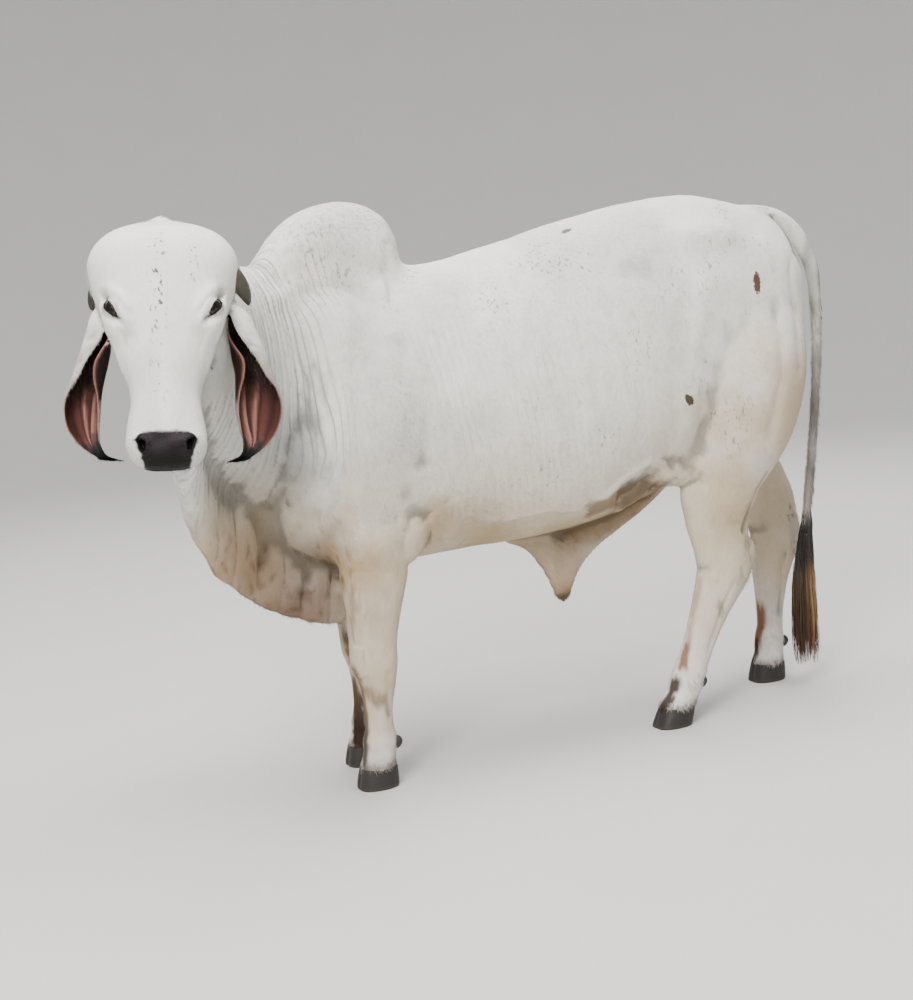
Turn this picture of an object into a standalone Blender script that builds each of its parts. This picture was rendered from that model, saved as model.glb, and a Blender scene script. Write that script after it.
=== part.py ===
import math

import bmesh
import bpy
import numpy as np
from mathutils import Matrix, Vector
from mathutils.bvhtree import BVHTree

# A young white Gyr bull standing still, life size, in metres.
# The bull faces -X, its left side is at -Y, and its feet stand on Z = 0.

# Driving sizes
GAP = 0.0003
RING_POINTS = 32
TRUNK_VOXEL = 0.012
TRUNK_SMOOTHING = 22
FLESH_VOXEL = 0.0065
FLESH_SMOOTHING = 8
HEAD_VOXEL = 0.007
HEAD_SMOOTHING = 16
HEAD_TRIANGLES = 1900
BODY_TRIANGLES = 4700
EYE_RADIUS = 0.0280
CORONET = 0.052
CLAW_LENGTH = 0.100
CLAW_WIDTH = 0.044
CLAW_GAP = 0.004
# Moves the finished bull so that its bounding box is centred over the origin
SHIFT = (0.1763, 0.1208, 0.0)

# Head frame: U runs down the face from the poll, V to the bull's left, W out of the face.
HEAD_POLL = Vector((-1.007, -0.282, 1.417))
HEAD_YAW = math.radians(13.2)
HEAD_PITCH = math.radians(27)
HEAD_ROLL = math.radians(-5)

# Trunk: x, top z, widest z, bottom z, half width, upper power, lower power
TORSO = [
    (-0.77, 1.10, 0.88, 0.68, 0.08, 0.9, 0.9),
    (-0.71, 1.21, 0.88, 0.60, 0.145, 0.95, 0.85),
    (-0.60, 1.258, 0.87, 0.55, 0.195, 1.05, 0.85),
    (-0.48, 1.272, 0.86, 0.536, 0.214, 1.1, 0.85),
    (-0.36, 1.274, 0.86, 0.537, 0.220, 1.1, 0.85),
    (-0.24, 1.280, 0.86, 0.541, 0.230, 1.05, 0.9),
    (-0.10, 1.307, 0.86, 0.542, 0.242, 1.0, 0.9),
    (0.06, 1.347, 0.87, 0.552, 0.250, 1.0, 0.9),
    (0.20, 1.372, 0.89, 0.578, 0.244, 1.0, 0.95),
    (0.34, 1.390, 0.95, 0.622, 0.224, 0.95, 1.0),
    (0.48, 1.397, 1.03, 0.670, 0.206, 0.9, 1.0),
    (0.60, 1.371, 1.05, 0.710, 0.188, 0.9, 1.0),
    (0.70, 1.345, 1.06, 0.760, 0.158, 0.9, 1.0),
    (0.77, 1.292, 1.08, 0.860, 0.118, 0.9, 1.0),
    (0.80, 1.220, 1.08, 0.960, 0.06, 1.0, 1.0),
]
HUMP = [
    (-0.79, 1.270, 1.20, 1.10, 0.035, 1.0, 1.0),
    (-0.735, 1.305, 1.22, 1.08, 0.066, 1.0, 1.0),
    (-0.68, 1.373, 1.24, 1.08, 0.084, 0.95, 1.0),
    (-0.62, 1.414, 1.26, 1.08, 0.096, 0.9, 1.0),
    (-0.55, 1.436, 1.27, 1.08, 0.102, 0.85, 1.0),
    (-0.49, 1.440, 1.28, 1.08, 0.102, 0.85, 1.0),
    (-0.43, 1.427, 1.29, 1.10, 0.092, 0.85, 1.0),
    (-0.385, 1.396, 1.30, 1.14, 0.072, 0.9, 1.0),
    (-0.358, 1.352, 1.30, 1.22, 0.040, 1.0, 1.0),
]
# Curtains stand upright along a path seen from above: x, y, top z, bottom z, half thickness
NECK = [
    (-0.48, 0.0, 1.26, 0.60, 0.150),
    (-0.62, -0.003, 1.275, 0.62, 0.148),
    (-0.74, -0.025, 1.30, 0.68, 0.140),
    (-0.84, -0.080, 1.325, 0.76, 0.130),
    (-0.915, -0.155, 1.350, 0.86, 0.122),
    (-0.960, -0.235, 1.365, 0.95, 0.112),
    (-0.980, -0.300, 1.34, 1.03, 0.086),
]
DEWLAP = [
    (-1.012, -0.345, 1.08, 0.895, 0.022),
    (-1.005, -0.27, 1.10, 0.838, 0.034),
    (-0.992, -0.20, 1.10, 0.766, 0.040),
    (-0.970, -0.14, 1.10, 0.686, 0.042),
    (-0.938, -0.095, 1.08, 0.606, 0.042),
    (-0.883, -0.055, 1.04, 0.535, 0.041),
    (-0.810, -0.020, 0.96, 0.474, 0.040),
    (-0.73, -0.005, 0.90, 0.428, 0.039),
    (-0.65, 0.0, 0.84, 0.396, 0.038),
    (-0.58, 0.0, 0.76, 0.390, 0.036),
    (-0.53, 0.0, 0.70, 0.430, 0.036),
    (-0.47, 0.0, 0.65, 0.500, 0.036),
]
SHEATH = [
    (-0.12, 0.0, 0.62, 0.536, 0.020),
    (-0.06, 0.0, 0.62, 0.505, 0.034),
    (-0.015, 0.0, 0.62, 0.440, 0.034),
    (0.018, 0.0, 0.62, 0.366, 0.029),
    (0.050, 0.0, 0.62, 0.366, 0.027),
    (0.085, 0.0, 0.62, 0.430, 0.027),
    (0.14, 0.0, 0.63, 0.482, 0.030),
    (0.22, 0.0, 0.65, 0.527, 0.036),
    (0.31, 0.0, 0.70, 0.580, 0.042),
    (0.39, 0.0, 0.72, 0.640, 0.040),
]
# Limbs: x, y, z, half size ahead, half size across
FORE_NEAR = [
    (-0.52, -0.085, 1.17, 0.07, 0.045),
    (-0.53, -0.115, 1.03, 0.125, 0.075),
    (-0.545, -0.130, 0.87, 0.140, 0.086),
    (-0.540, -0.132, 0.72, 0.130, 0.082),
    (-0.532, -0.125, 0.61, 0.106, 0.072),
    (-0.535, -0.120, 0.53, 0.087, 0.062),
    (-0.545, -0.115, 0.43, 0.071, 0.053),
    (-0.550, -0.112, 0.36, 0.062, 0.050),
    (-0.550, -0.110, 0.305, 0.060, 0.051),
    (-0.548, -0.110, 0.26, 0.049, 0.045),
    (-0.552, -0.110, 0.20, 0.038, 0.034),
    (-0.554, -0.110, 0.15, 0.038, 0.034),
    (-0.556, -0.110, 0.115, 0.046, 0.041),
    (-0.561, -0.110, 0.08, 0.043, 0.041),
    (-0.566, -0.110, 0.05, 0.046, 0.045),
    (-0.570, -0.110, 0.03, 0.046, 0.045),
]
HIND_NEAR = [
    (0.58, -0.070, 1.20, 0.12, 0.05),
    (0.565, -0.100, 1.06, 0.195, 0.094),
    (0.553, -0.116, 0.93, 0.202, 0.110),
    (0.525, -0.124, 0.81, 0.186, 0.102),
    (0.485, -0.128, 0.70, 0.152, 0.086),
    (0.460, -0.125, 0.61, 0.119, 0.068),
    (0.452, -0.12, 0.53, 0.098, 0.054),
    (0.458, -0.12, 0.46, 0.084, 0.048),
    (0.462, -0.12, 0.40, 0.083, 0.048),
    (0.425, -0.12, 0.325, 0.066, 0.042),
    (0.382, -0.12, 0.24, 0.050, 0.035),
    (0.350, -0.12, 0.17, 0.045, 0.034),
    (0.325, -0.12, 0.12, 0.050, 0.040),
    (0.305, -0.12, 0.08, 0.045, 0.041),
    (0.288, -0.12, 0.05, 0.047, 0.045),
    (0.278, -0.12, 0.03, 0.046, 0.045),
]
HIND_FAR = [
    (0.58, 0.070, 1.20, 0.12, 0.05),
    (0.570, 0.100, 1.06, 0.185, 0.094),
    (0.572, 0.116, 0.93, 0.190, 0.110),
    (0.590, 0.124, 0.81, 0.166, 0.102),
    (0.645, 0.128, 0.70, 0.138, 0.086),
    (0.705, 0.125, 0.61, 0.112, 0.068),
    (0.758, 0.12, 0.53, 0.094, 0.054),
    (0.784, 0.12, 0.46, 0.081, 0.048),
    (0.786, 0.12, 0.40, 0.078, 0.048),
    (0.768, 0.12, 0.325, 0.062, 0.042),
    (0.757, 0.12, 0.24, 0.047, 0.035),
    (0.752, 0.12, 0.17, 0.042, 0.034),
    (0.748, 0.12, 0.12, 0.048, 0.040),
    (0.742, 0.12, 0.08, 0.044, 0.041),
    (0.737, 0.12, 0.05, 0.046, 0.045),
    (0.733, 0.12, 0.03, 0.046, 0.045),
]
FORE_FAR_SHIFT = 0.050
TAIL = [
    (0.64, 0.0, 1.330, 0.030, 0.030),
    (0.73, 0.0, 1.322, 0.030, 0.030),
    (0.795, 0.0, 1.300, 0.028, 0.028),
    (0.848, 0.0, 1.250, 0.025, 0.025),
    (0.878, 0.0, 1.185, 0.022, 0.022),
    (0.888, 0.0, 1.120, 0.019, 0.019),
    (0.888, 0.0, 1.000, 0.0165, 0.0165),
    (0.872, 0.0, 0.830, 0.0145, 0.0145),
    (0.848, 0.0, 0.660, 0.0130, 0.0130),
    (0.824, 0.0, 0.520, 0.0120, 0.0120),
    (0.806, 0.0, 0.420, 0.0110, 0.0110),
    (0.796, 0.0, 0.340, 0.0090, 0.0090),
    (0.788, 0.0, 0.270, 0.0060, 0.0060),
]
SCROTUM = [
    (0.475, 0.0, 0.72, 0.030, 0.030),
    (0.480, 0.0, 0.66, 0.030, 0.034),
    (0.485, 0.0, 0.61, 0.036, 0.044),
    (0.488, 0.0, 0.56, 0.042, 0.052),
    (0.488, 0.0, 0.52, 0.038, 0.048),
    (0.486, 0.0, 0.49, 0.022, 0.028),
]
# Masses of muscle and bone under the skin: centre, half sizes, turn in degrees. Each has a twin at +Y.
MASSES = [
    ((-0.54, -0.095, 1.00), (0.140, 0.095, 0.240), (0, -14, 0)),
    ((-0.660, -0.095, 0.84), (0.090, 0.085, 0.150), (0, 0, 0)),
    ((0.460, -0.127, 1.268), (0.130, 0.052, 0.056), (0, 6, 0)),
    ((0.765, -0.070, 1.150), (0.036, 0.040, 0.070), (0, 0, 0)),
    ((0.660, -0.085, 0.99), (0.110, 0.090, 0.190), (0, 6, 0)),
    ((0.600, -0.080, 1.180), (0.180, 0.092, 0.130), (0, 14, 0)),
    ((0.360, -0.110, 0.750), (0.070, 0.075, 0.130), (0, 20, 0)),
]
# Small masses kept sharper: the elbows and the points of the hocks
POINTS = [
    ((-0.445, -0.138, 0.640), (0.060, 0.050, 0.095), (0, 12, 0)),
    ((-0.445 + FORE_FAR_SHIFT, 0.138, 0.640), (0.060, 0.050, 0.095), (0, 12, 0)),
    ((0.530, -0.12, 0.420), (0.030, 0.026, 0.055), (0, 14, 0)),
    ((0.846, 0.12, 0.430), (0.028, 0.026, 0.055), (0, -2, 0)),
]
# Skull and upper muzzle, down the face: u, half width, front w, back w, front power, back power
SKULL = [
    (-0.012, 0.050, -0.045, -0.105, 1.0, 1.0),
    (0.004, 0.096, -0.008, -0.135, 0.95, 1.0),
    (0.030, 0.132, 0.026, -0.150, 0.9, 1.0),
    (0.065, 0.157, 0.046, -0.165, 0.85, 1.0),
    (0.100, 0.1665, 0.054, -0.180, 0.85, 1.0),
    (0.135, 0.1625, 0.052, -0.190, 0.85, 1.0),
    (0.170, 0.150, 0.047, -0.195, 0.85, 1.0),
    (0.205, 0.137, 0.041, -0.190, 0.85, 1.0),
    (0.250, 0.123, 0.031, -0.180, 0.85, 1.0),
    (0.295, 0.109, 0.020, -0.165, 0.85, 1.0),
    (0.340, 0.094, 0.010, -0.145, 0.85, 0.95),
    (0.380, 0.080, 0.000, -0.130, 0.85, 0.9),
    (0.420, 0.0755, -0.008, -0.118, 0.8, 0.9),
    (0.460, 0.0830, -0.014, -0.116, 0.72, 0.85),
    (0.500, 0.0880, -0.022, -0.116, 0.68, 0.8),
    (0.532, 0.0840, -0.036, -0.114, 0.72, 0.8),
    (0.551, 0.0680, -0.054, -0.108, 0.85, 0.85),
    (0.559, 0.0430, -0.068, -0.098, 0.95, 0.95),
]
JAW = [
    (0.150, 0.060, -0.110, -0.190, 1.0, 1.0),
    (0.200, 0.082, -0.100, -0.212, 1.0, 1.0),
    (0.250, 0.084, -0.095, -0.218, 1.0, 1.0),
    (0.310, 0.072, -0.090, -0.204, 1.0, 0.95),
    (0.370, 0.060, -0.090, -0.182, 1.0, 0.9),
    (0.430, 0.056, -0.092, -0.165, 0.95, 0.85),
    (0.485, 0.059, -0.096, -0.160, 0.9, 0.8),
    (0.522, 0.054, -0.102, -0.155, 0.9, 0.85),
    (0.542, 0.036, -0.112, -0.145, 1.0, 1.0),
]
# Masses of the head in its own frame: centre u, v, w, half sizes along u, v, w. The side ones have a twin.
HEAD_MIDDLE = [((-0.002, -0.004, -0.045), (0.024, 0.026, 0.035))]
HEAD_SIDES = [
    ((0.215, 0.086, -0.016), (0.080, 0.050, 0.052)),
    ((0.245, 0.066, -0.130), (0.095, 0.038, 0.064)),
    ((0.508, 0.050, -0.062), (0.038, 0.040, 0.042)),
]
# Eye: centre in the head frame, the way it looks, and the way its slit runs up and out
EYE_CENTRE = (0.2240, 0.0975, -0.0005)
EYE_LOOK = (0.05, 0.66, 0.75)
EYE_SLIT = (-0.66, 0.43, -0.62)
SLIT_HALVES = (0.0215, 0.0105)
# Ear stations: out, down, half width, depth, and the two edges as degrees round from the outer side
EAR_ROOT = (0.188, 0.156, -0.085)
EAR_THICKNESS = 0.005
EAR_LEFT = [
    (-0.040, -0.030, 0.020, 0.016, 150, -165),
    (0.000, 0.000, 0.024, 0.019, 142, -172),
    (0.013, 0.050, 0.034, 0.025, 106, -200),
    (0.027, 0.099, 0.041, 0.029, 74, -246),
    (0.036, 0.140, 0.043, 0.030, 54, -236),
    (0.042, 0.176, 0.049, 0.030, 24, -216),
    (0.044, 0.215, 0.0515, 0.029, 8, -207),
    (0.043, 0.255, 0.044, 0.025, 2, -202),
    (0.038, 0.287, 0.030, 0.018, 0, -192),
    (0.024, 0.311, 0.0185, 0.012, 0, -182),
    (0.003, 0.327, 0.0115, 0.008, 0, -180),
    (-0.019, 0.333, 0.0055, 0.005, 0, -180),
]
EAR_RIGHT = [
    (-0.052, -0.030, 0.020, 0.016, 150, -165),
    (-0.024, 0.000, 0.024, 0.019, 142, -180),
    (-0.013, 0.050, 0.030, 0.025, 104, -222),
    (0.000, 0.100, 0.035, 0.029, 66, -262),
    (0.013, 0.142, 0.037, 0.030, 50, -250),
    (0.024, 0.178, 0.040, 0.030, 24, -222),
    (0.028, 0.215, 0.040, 0.029, 8, -208),
    (0.026, 0.252, 0.034, 0.025, 2, -202),
    (0.016, 0.283, 0.024, 0.017, 0, -192),
    (-0.002, 0.306, 0.0155, 0.011, 0, -182),
    (-0.024, 0.320, 0.0100, 0.008, 0, -180),
    (-0.045, 0.324, 0.0055, 0.005, 0, -180),
]
# Horn stations in the head frame, root to tip: u, v, w, radius
HORN_LEFT = [
    (0.080, 0.104, -0.036, 0.025),
    (0.110, 0.138, -0.040, 0.0235),
    (0.132, 0.161, -0.053, 0.0205),
    (0.149, 0.175, -0.071, 0.0150),
    (0.160, 0.182, -0.088, 0.0085),
    (0.165, 0.184, -0.098, 0.0030),
]
HORN_RIGHT = [
    (0.072, 0.104, -0.088, 0.025),
    (0.100, 0.128, -0.097, 0.0235),
    (0.122, 0.144, -0.106, 0.0205),
    (0.142, 0.153, -0.116, 0.0150),
    (0.155, 0.157, -0.123, 0.0085),
    (0.160, 0.158, -0.127, 0.0030),
]
# Lines pressed into the muzzle, in the head frame: u, v, w, radius. Each has a twin.
NOSTRIL = [
    (0.505, 0.063, -0.036, 0.0030),
    (0.510, 0.058, -0.032, 0.0070),
    (0.518, 0.050, -0.032, 0.0090),
    (0.528, 0.048, -0.038, 0.0060),
    (0.536, 0.056, -0.050, 0.0030),
]
MOUTH = [
    (0.405, 0.068, -0.112, 0.0020),
    (0.430, 0.070, -0.113, 0.0035),
    (0.465, 0.078, -0.114, 0.0040),
    (0.500, 0.082, -0.113, 0.0040),
    (0.530, 0.076, -0.110, 0.0040),
    (0.552, 0.050, -0.104, 0.0040),
    (0.562, 0.015, -0.100, 0.0040),
    (0.563, -0.010, -0.099, 0.0040),
]
# Switch of the tail: x, z and reach of the brush, from the tail down
SWITCH = [
    (0.807, 0.450, 0.009),
    (0.801, 0.360, 0.021),
    (0.794, 0.250, 0.031),
    (0.790, 0.140, 0.037),
    (0.789, 0.055, 0.031),
]
SWITCH_LOCKS = 20
LOCK_ROWS = 6
LOCK_WIDTHS = (0.014, 0.023, 0.026, 0.024, 0.017, 0.004)
LOCK_DEPTHS = (0.007, 0.009, 0.008, 0.007, 0.005, 0.002)
# Feet: middle x and y of the coronet, how far the toe reaches ahead of it, and x of the dewclaws
FEET = {
    "foreleg_left": (-0.566, -0.110, 0.052, -0.517),
    "foreleg_right": (-0.516, 0.110, 0.052, -0.467),
    "hindleg_left": (0.287, -0.120, 0.066, 0.360),
    "hindleg_right": (0.737, 0.120, 0.054, 0.785),
}


def clear_scene():
    for old in list(bpy.data.objects):
        bpy.data.objects.remove(old)


def smooth_stations(stations, steps):
    """Catmull-Rom curve through rows of numbers, with this many steps between two rows."""
    rows = np.array(stations, float)
    ends = np.vstack([2 * rows[0] - rows[1], rows, 2 * rows[-1] - rows[-2]])
    out = []
    for i in range(len(rows) - 1):
        a, b, c, d = ends[i : i + 4]
        for t in np.arange(steps) / steps:
            cubic = 2 * b + (c - a) * t + (2 * a - 5 * b + 4 * c - d) * t**2
            out.append(0.5 * (cubic + (3 * b - a - 3 * c + d) * t**3))
    out.append(rows[-1])
    return np.array(out)


def superpower(value, power):
    return np.sign(value) * np.abs(value) ** power


def angles(count=RING_POINTS):
    return np.arange(count) * 2 * math.pi / count


def object_from(name, points, faces):
    """Closed mesh object with its faces turned outwards."""
    mesh = bpy.data.meshes.new(name)
    mesh.from_pydata([tuple(p) for p in points], [], faces)
    body = bmesh.new()
    body.from_mesh(mesh)
    bmesh.ops.recalc_face_normals(body, faces=body.faces)
    body.to_mesh(mesh)
    body.free()
    obj = bpy.data.objects.new(name, mesh)
    bpy.context.scene.collection.objects.link(obj)
    return obj


def lofted(name, rings):
    """Closed body through rings of equal length, with a fan at each end."""
    rings = np.asarray(rings, float)
    count, around = rings.shape[:2]
    points = np.vstack([rings.reshape(-1, 3), rings[0].mean(0), rings[-1].mean(0)])
    faces = []
    for i in range(count - 1):
        for j in range(around):
            k = (j + 1) % around
            low, high = i * around, (i + 1) * around
            faces.append((low + j, low + k, high + k, high + j))
    first, last = count * around, count * around + 1
    for j in range(around):
        k = (j + 1) % around
        faces.append((first, k, j))
        faces.append((last, last - 1 - around + j, last - 1 - around + k))
    return object_from(name, points, faces)


def barrel(name, stations, steps=4):
    """Body along X with upright rings."""
    rings = []
    turn = angles()
    side, rise = np.cos(turn), np.sin(turn)
    for x, top, middle, bottom, half, upper, lower in smooth_stations(stations, steps):
        power = np.where(rise > 0, upper, lower)
        height = np.where(rise > 0, top - middle, middle - bottom)
        y = half * superpower(side, power)
        z = middle + height * superpower(rise, 0.92)
        rings.append(np.stack([np.full(RING_POINTS, x), y, z], 1))
    return lofted(name, rings)


def curtain(name, stations, power=1.0, wave=0.0, steps=4):
    """Upright ovals along a path seen from above, swaying sideways by the wave."""
    rows = smooth_stations(stations, steps)
    along = np.gradient(rows[:, :2], axis=0)
    along /= np.linalg.norm(along, axis=1)[:, None]
    turn = angles()
    rings = []
    for i, (row, way) in enumerate(zip(rows, along)):
        across = np.array([-way[1], way[0]])
        middle, half_height = (row[2] + row[3]) / 2, (row[2] - row[3]) / 2
        hang = 0.5 - 0.5 * np.sin(turn)
        sway = wave * math.sin(1.1 * i) * hang
        flat = np.outer(row[4] * superpower(np.cos(turn), power) + sway, across)
        z = middle + half_height * np.sin(turn)
        rings.append(np.column_stack([row[:2] + flat, z]))
    return lofted(name, rings)


def limb(name, stations, ahead=(-1, 0, 0), steps=4, count=RING_POINTS):
    """Oval tube square to its path."""
    rows = smooth_stations(stations, steps)
    path = rows[:, :3]
    along = np.gradient(path, axis=0)
    along /= np.linalg.norm(along, axis=1)[:, None]
    turn = angles(count)
    rings = []
    for point, way, row in zip(path, along, rows):
        across = np.cross(way, ahead)
        across /= np.linalg.norm(across)
        front = np.cross(across, way)
        ring = point + np.outer(np.cos(turn) * row[3], front)
        rings.append(ring + np.outer(np.sin(turn) * row[4], across))
    return lofted(name, rings)


def blob(name, centre, halves, turn=(0, 0, 0), axes=None, segments=24):
    """Ellipsoid, turned by degrees about X, Y and Z, or set along the given axes."""
    bpy.ops.mesh.primitive_uv_sphere_add(segments=segments, ring_count=segments * 2 // 3, radius=1)
    obj = bpy.context.object
    obj.name = name
    if axes is None:
        about = [Matrix.Rotation(math.radians(a), 4, k) for a, k in zip(turn, "XYZ")]
        spin = about[2] @ about[1] @ about[0]
    else:
        spin = Matrix(axes).transposed().to_4x4()
    obj.data.transform(Matrix.Translation(centre) @ spin @ Matrix.Diagonal((*halves, 1)))
    if spin.determinant() < 0:
        obj.data.flip_normals()
    return obj


def head_axes():
    facing = Vector((-math.sin(HEAD_YAW), -math.cos(HEAD_YAW), 0))
    left = Vector((math.cos(HEAD_YAW), -math.sin(HEAD_YAW), 0))
    down = facing * math.sin(HEAD_PITCH) + Vector((0, 0, -1)) * math.cos(HEAD_PITCH)
    out = facing * math.cos(HEAD_PITCH) + Vector((0, 0, 1)) * math.sin(HEAD_PITCH)
    roll = Matrix.Rotation(HEAD_ROLL, 3, out)
    return roll @ down, roll @ left, out


def head_point(u, v, w):
    down, left, out = head_axes()
    return HEAD_POLL + down * u + left * v + out * w


def head_loft(name, stations, steps=4):
    """Body down the face with rings square to it."""
    down, left, out = (np.array(a) for a in head_axes())
    rings = []
    turn = angles()
    side, rise = np.cos(turn), np.sin(turn)
    for u, half, front, back, front_power, back_power in smooth_stations(stations, steps):
        middle = back + (front - back) * 0.55
        power = np.where(rise > 0, front_power, back_power)
        depth = np.where(rise > 0, front - middle, middle - back)
        v = half * superpower(side, power)
        w = middle + depth * superpower(rise, power)
        rings.append(np.array(HEAD_POLL) + u * down + np.outer(v, left) + np.outer(w, out))
    return lofted(name, rings)


def head_blob(name, centre, halves, twin=1, tilt=0.0, segments=24):
    """Ellipsoid set along the head frame, tilted in the plane of the face."""
    u, v, w = centre
    down, left, out = head_axes()
    spin = Matrix.Rotation(twin * tilt, 3, out)
    return blob(name, head_point(u, twin * v, w), halves,
                axes=(spin @ down, spin @ left, out), segments=segments)


def mirrored(stations, shift=0.0):
    return [(x + shift, -y, *rest) for x, y, *rest in stations]


def slim_start(stations):
    """The same limb with a narrow first ring, hidden in the trunk."""
    x, y, z, ahead, across = stations[0]
    return [(x, y, z, ahead * 0.8, across * 0.8), *stations[1:]]


def joined(forms, name):
    bpy.ops.object.select_all(action="DESELECT")
    for form in forms:
        form.select_set(True)
    bpy.context.view_layer.objects.active = forms[0]
    bpy.ops.object.join()
    forms[0].name = name
    return forms[0]


def baked(obj):
    """The mesh with its modifiers applied."""
    graph = bpy.context.evaluated_depsgraph_get()
    mesh = bpy.data.meshes.new_from_object(obj.evaluated_get(graph))
    obj.modifiers.clear()
    obj.data = mesh
    return obj


def fused(forms, name, voxel, rounds):
    """Forms made one body by a voxel remesh, then smoothed."""
    obj = joined(forms, name)
    remesh = obj.modifiers.new("remesh", "REMESH")
    remesh.mode = "VOXEL"
    remesh.voxel_size = voxel
    smooth = obj.modifiers.new("smooth", "SMOOTH")
    smooth.factor = 0.5
    smooth.iterations = rounds
    return baked(obj)


def trunk_forms():
    forms = [
        barrel("torso_form", TORSO),
        barrel("hump_form", HUMP),
        curtain("neck_form", NECK),
        curtain("dewlap_form", DEWLAP, 0.8, 0.008),
        limb("fore_near_top", FORE_NEAR[:6]),
        limb("fore_far_top", mirrored(FORE_NEAR[:6], FORE_FAR_SHIFT)),
        limb("hind_near_top", HIND_NEAR[:6]),
        limb("hind_far_top", HIND_FAR[:6]),
    ]
    for centre, halves, turn in MASSES:
        x, y, z = centre
        forms.append(blob("mass", centre, halves, turn))
        forms.append(blob("mass", (x, -y, z), halves, turn))
    return forms


def head_forms():
    forms = [head_loft("skull_form", SKULL), head_loft("jaw_form", JAW)]
    for centre, halves in HEAD_MIDDLE:
        forms.append(head_blob("head_mass", centre, halves))
    for centre, halves in HEAD_SIDES:
        forms += [head_blob("head_mass", centre, halves, twin) for twin in (1, -1)]
    return [fused(forms, "head_form", HEAD_VOXEL, HEAD_SMOOTHING)]


def limb_forms():
    forms = [
        limb("fore_near_form", slim_start(FORE_NEAR[4:])),
        limb("fore_far_form", slim_start(mirrored(FORE_NEAR[4:], FORE_FAR_SHIFT))),
        limb("hind_near_form", slim_start(HIND_NEAR[4:])),
        limb("hind_far_form", slim_start(HIND_FAR[4:])),
        limb("tail_form", TAIL[:7]),
        limb("scrotum_form", SCROTUM),
        curtain("sheath_form", SHEATH, 0.8),
    ]
    forms += [blob("point", *point) for point in POINTS]
    for _, y, _, stud in FEET.values():
        forms.append(blob("fetlock", (stud - 0.013, y, 0.112), (0.018, 0.027, 0.024)))
    return forms


def copy_of(obj, name):
    twin = bpy.data.objects.new(name, obj.data.copy())
    bpy.context.scene.collection.objects.link(twin)
    return twin


def removed(obj):
    bpy.data.objects.remove(obj)


def combined(obj, other, operation, solver="EXACT"):
    """Boolean of obj with other. The other is used up."""
    step = obj.modifiers.new("boolean", "BOOLEAN")
    step.operation = operation
    step.solver = solver
    step.object = other
    baked(obj)
    removed(other)
    return obj


def decimated(obj, triangles):
    now = sum(len(face.vertices) - 2 for face in obj.data.polygons)
    obj.modifiers.new("triangulate", "TRIANGULATE")
    step = obj.modifiers.new("decimate", "DECIMATE")
    step.ratio = min(1.0, triangles / now)
    return baked(obj)


def largest_only(obj):
    """Drops every loose part but the one with the most faces."""
    body = bmesh.new()
    body.from_mesh(obj.data)
    left = set(body.faces)
    parts = []
    while left:
        front = [left.pop()]
        part = list(front)
        while front:
            face = front.pop()
            near = {other for edge in face.edges for other in edge.link_faces}
            front += near & left
            part += near & left
            left -= near
        parts.append(part)
    parts.sort(key=len)
    for part in parts[:-1]:
        bmesh.ops.delete(body, geom=list({v for face in part for v in face.verts}), context="VERTS")
    body.to_mesh(obj.data)
    body.free()
    return obj


def region(planes, grow):
    """Convex cell behind planes of (point, outward normal), grown by this much."""
    body = bmesh.new()
    bmesh.ops.create_cube(body, size=5)
    for point, normal in planes:
        way = Vector(normal).normalized()
        whole = body.verts[:] + body.edges[:] + body.faces[:]
        bmesh.ops.bisect_plane(body, geom=whole, plane_co=Vector(point) + way * grow,
                               plane_no=way, clear_outer=True)
        rim = [edge for edge in body.edges if edge.is_boundary]
        bmesh.ops.holes_fill(body, edges=rim)
    bmesh.ops.recalc_face_normals(body, faces=body.faces)
    mesh = bpy.data.meshes.new("region")
    body.to_mesh(mesh)
    body.free()
    obj = bpy.data.objects.new("region", mesh)
    bpy.context.scene.collection.objects.link(obj)
    return obj


def split_off(body, name, planes):
    """Cuts the part behind the planes from the body, a gap apart."""
    piece = combined(copy_of(body, name), region(planes, -GAP / 2), "INTERSECT")
    combined(body, region(planes, GAP / 2), "DIFFERENCE")
    return largest_only(piece)


def head_way(u, v, w):
    down, left, out = head_axes()
    return down * u + left * v + out * w


def head_planes():
    """Behind the skull and the cheeks, and under the jaw."""
    nape = (head_point(0.13, 0, -0.176), head_way(-0.20, 0, -1.0))
    throat = (head_point(0.30, 0, -0.224), head_way(0.22, 0, -1.0))
    return [nape, throat]


def eye_sockets(head):
    """Round sockets open through almond slits, which leave the lids standing."""
    down, left, out = head_axes()
    for side in (1, -1):
        u, v, w = EYE_CENTRE
        centre = head_point(u, side * v, w)
        look = head_way(EYE_LOOK[0], side * EYE_LOOK[1], EYE_LOOK[2]).normalized()
        slit = head_way(EYE_SLIT[0], side * EYE_SLIT[1], EYE_SLIT[2])
        slit = (slit - look * slit.dot(look)).normalized()
        across = look.cross(slit)
        turn = angles(16)
        high = SLIT_HALVES[1] * superpower(np.sin(turn), 1.3)
        outline = np.outer(SLIT_HALVES[0] * np.cos(turn), slit) + np.outer(high, across)
        rings = [np.array(centre + look * far) + outline for far in (0.006, 0.020, 0.045)]
        combined(head, lofted("slit", rings), "DIFFERENCE")
        size = EYE_RADIUS + GAP
        combined(head, blob("socket", centre, (size, size, size), segments=14), "DIFFERENCE")


def pressed(head, stations, side):
    """Tube cutter along a line in the head frame, laid on the skin."""
    graph = bpy.context.evaluated_depsgraph_get()
    skin = BVHTree.FromObject(head, graph)
    path = []
    for u, v, w, size in stations:
        spot = skin.find_nearest(head_point(u, side * v, w))[0]
        path.append((*spot, size, size))
    combined(head, limb("line", path, ahead=tuple(head_axes()[2]), steps=2, count=6), "DIFFERENCE")


def eyeball(name, side):
    u, v, w = EYE_CENTRE
    return blob(name, head_point(u, side * v, w), (EYE_RADIUS,) * 3, segments=14)


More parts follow.
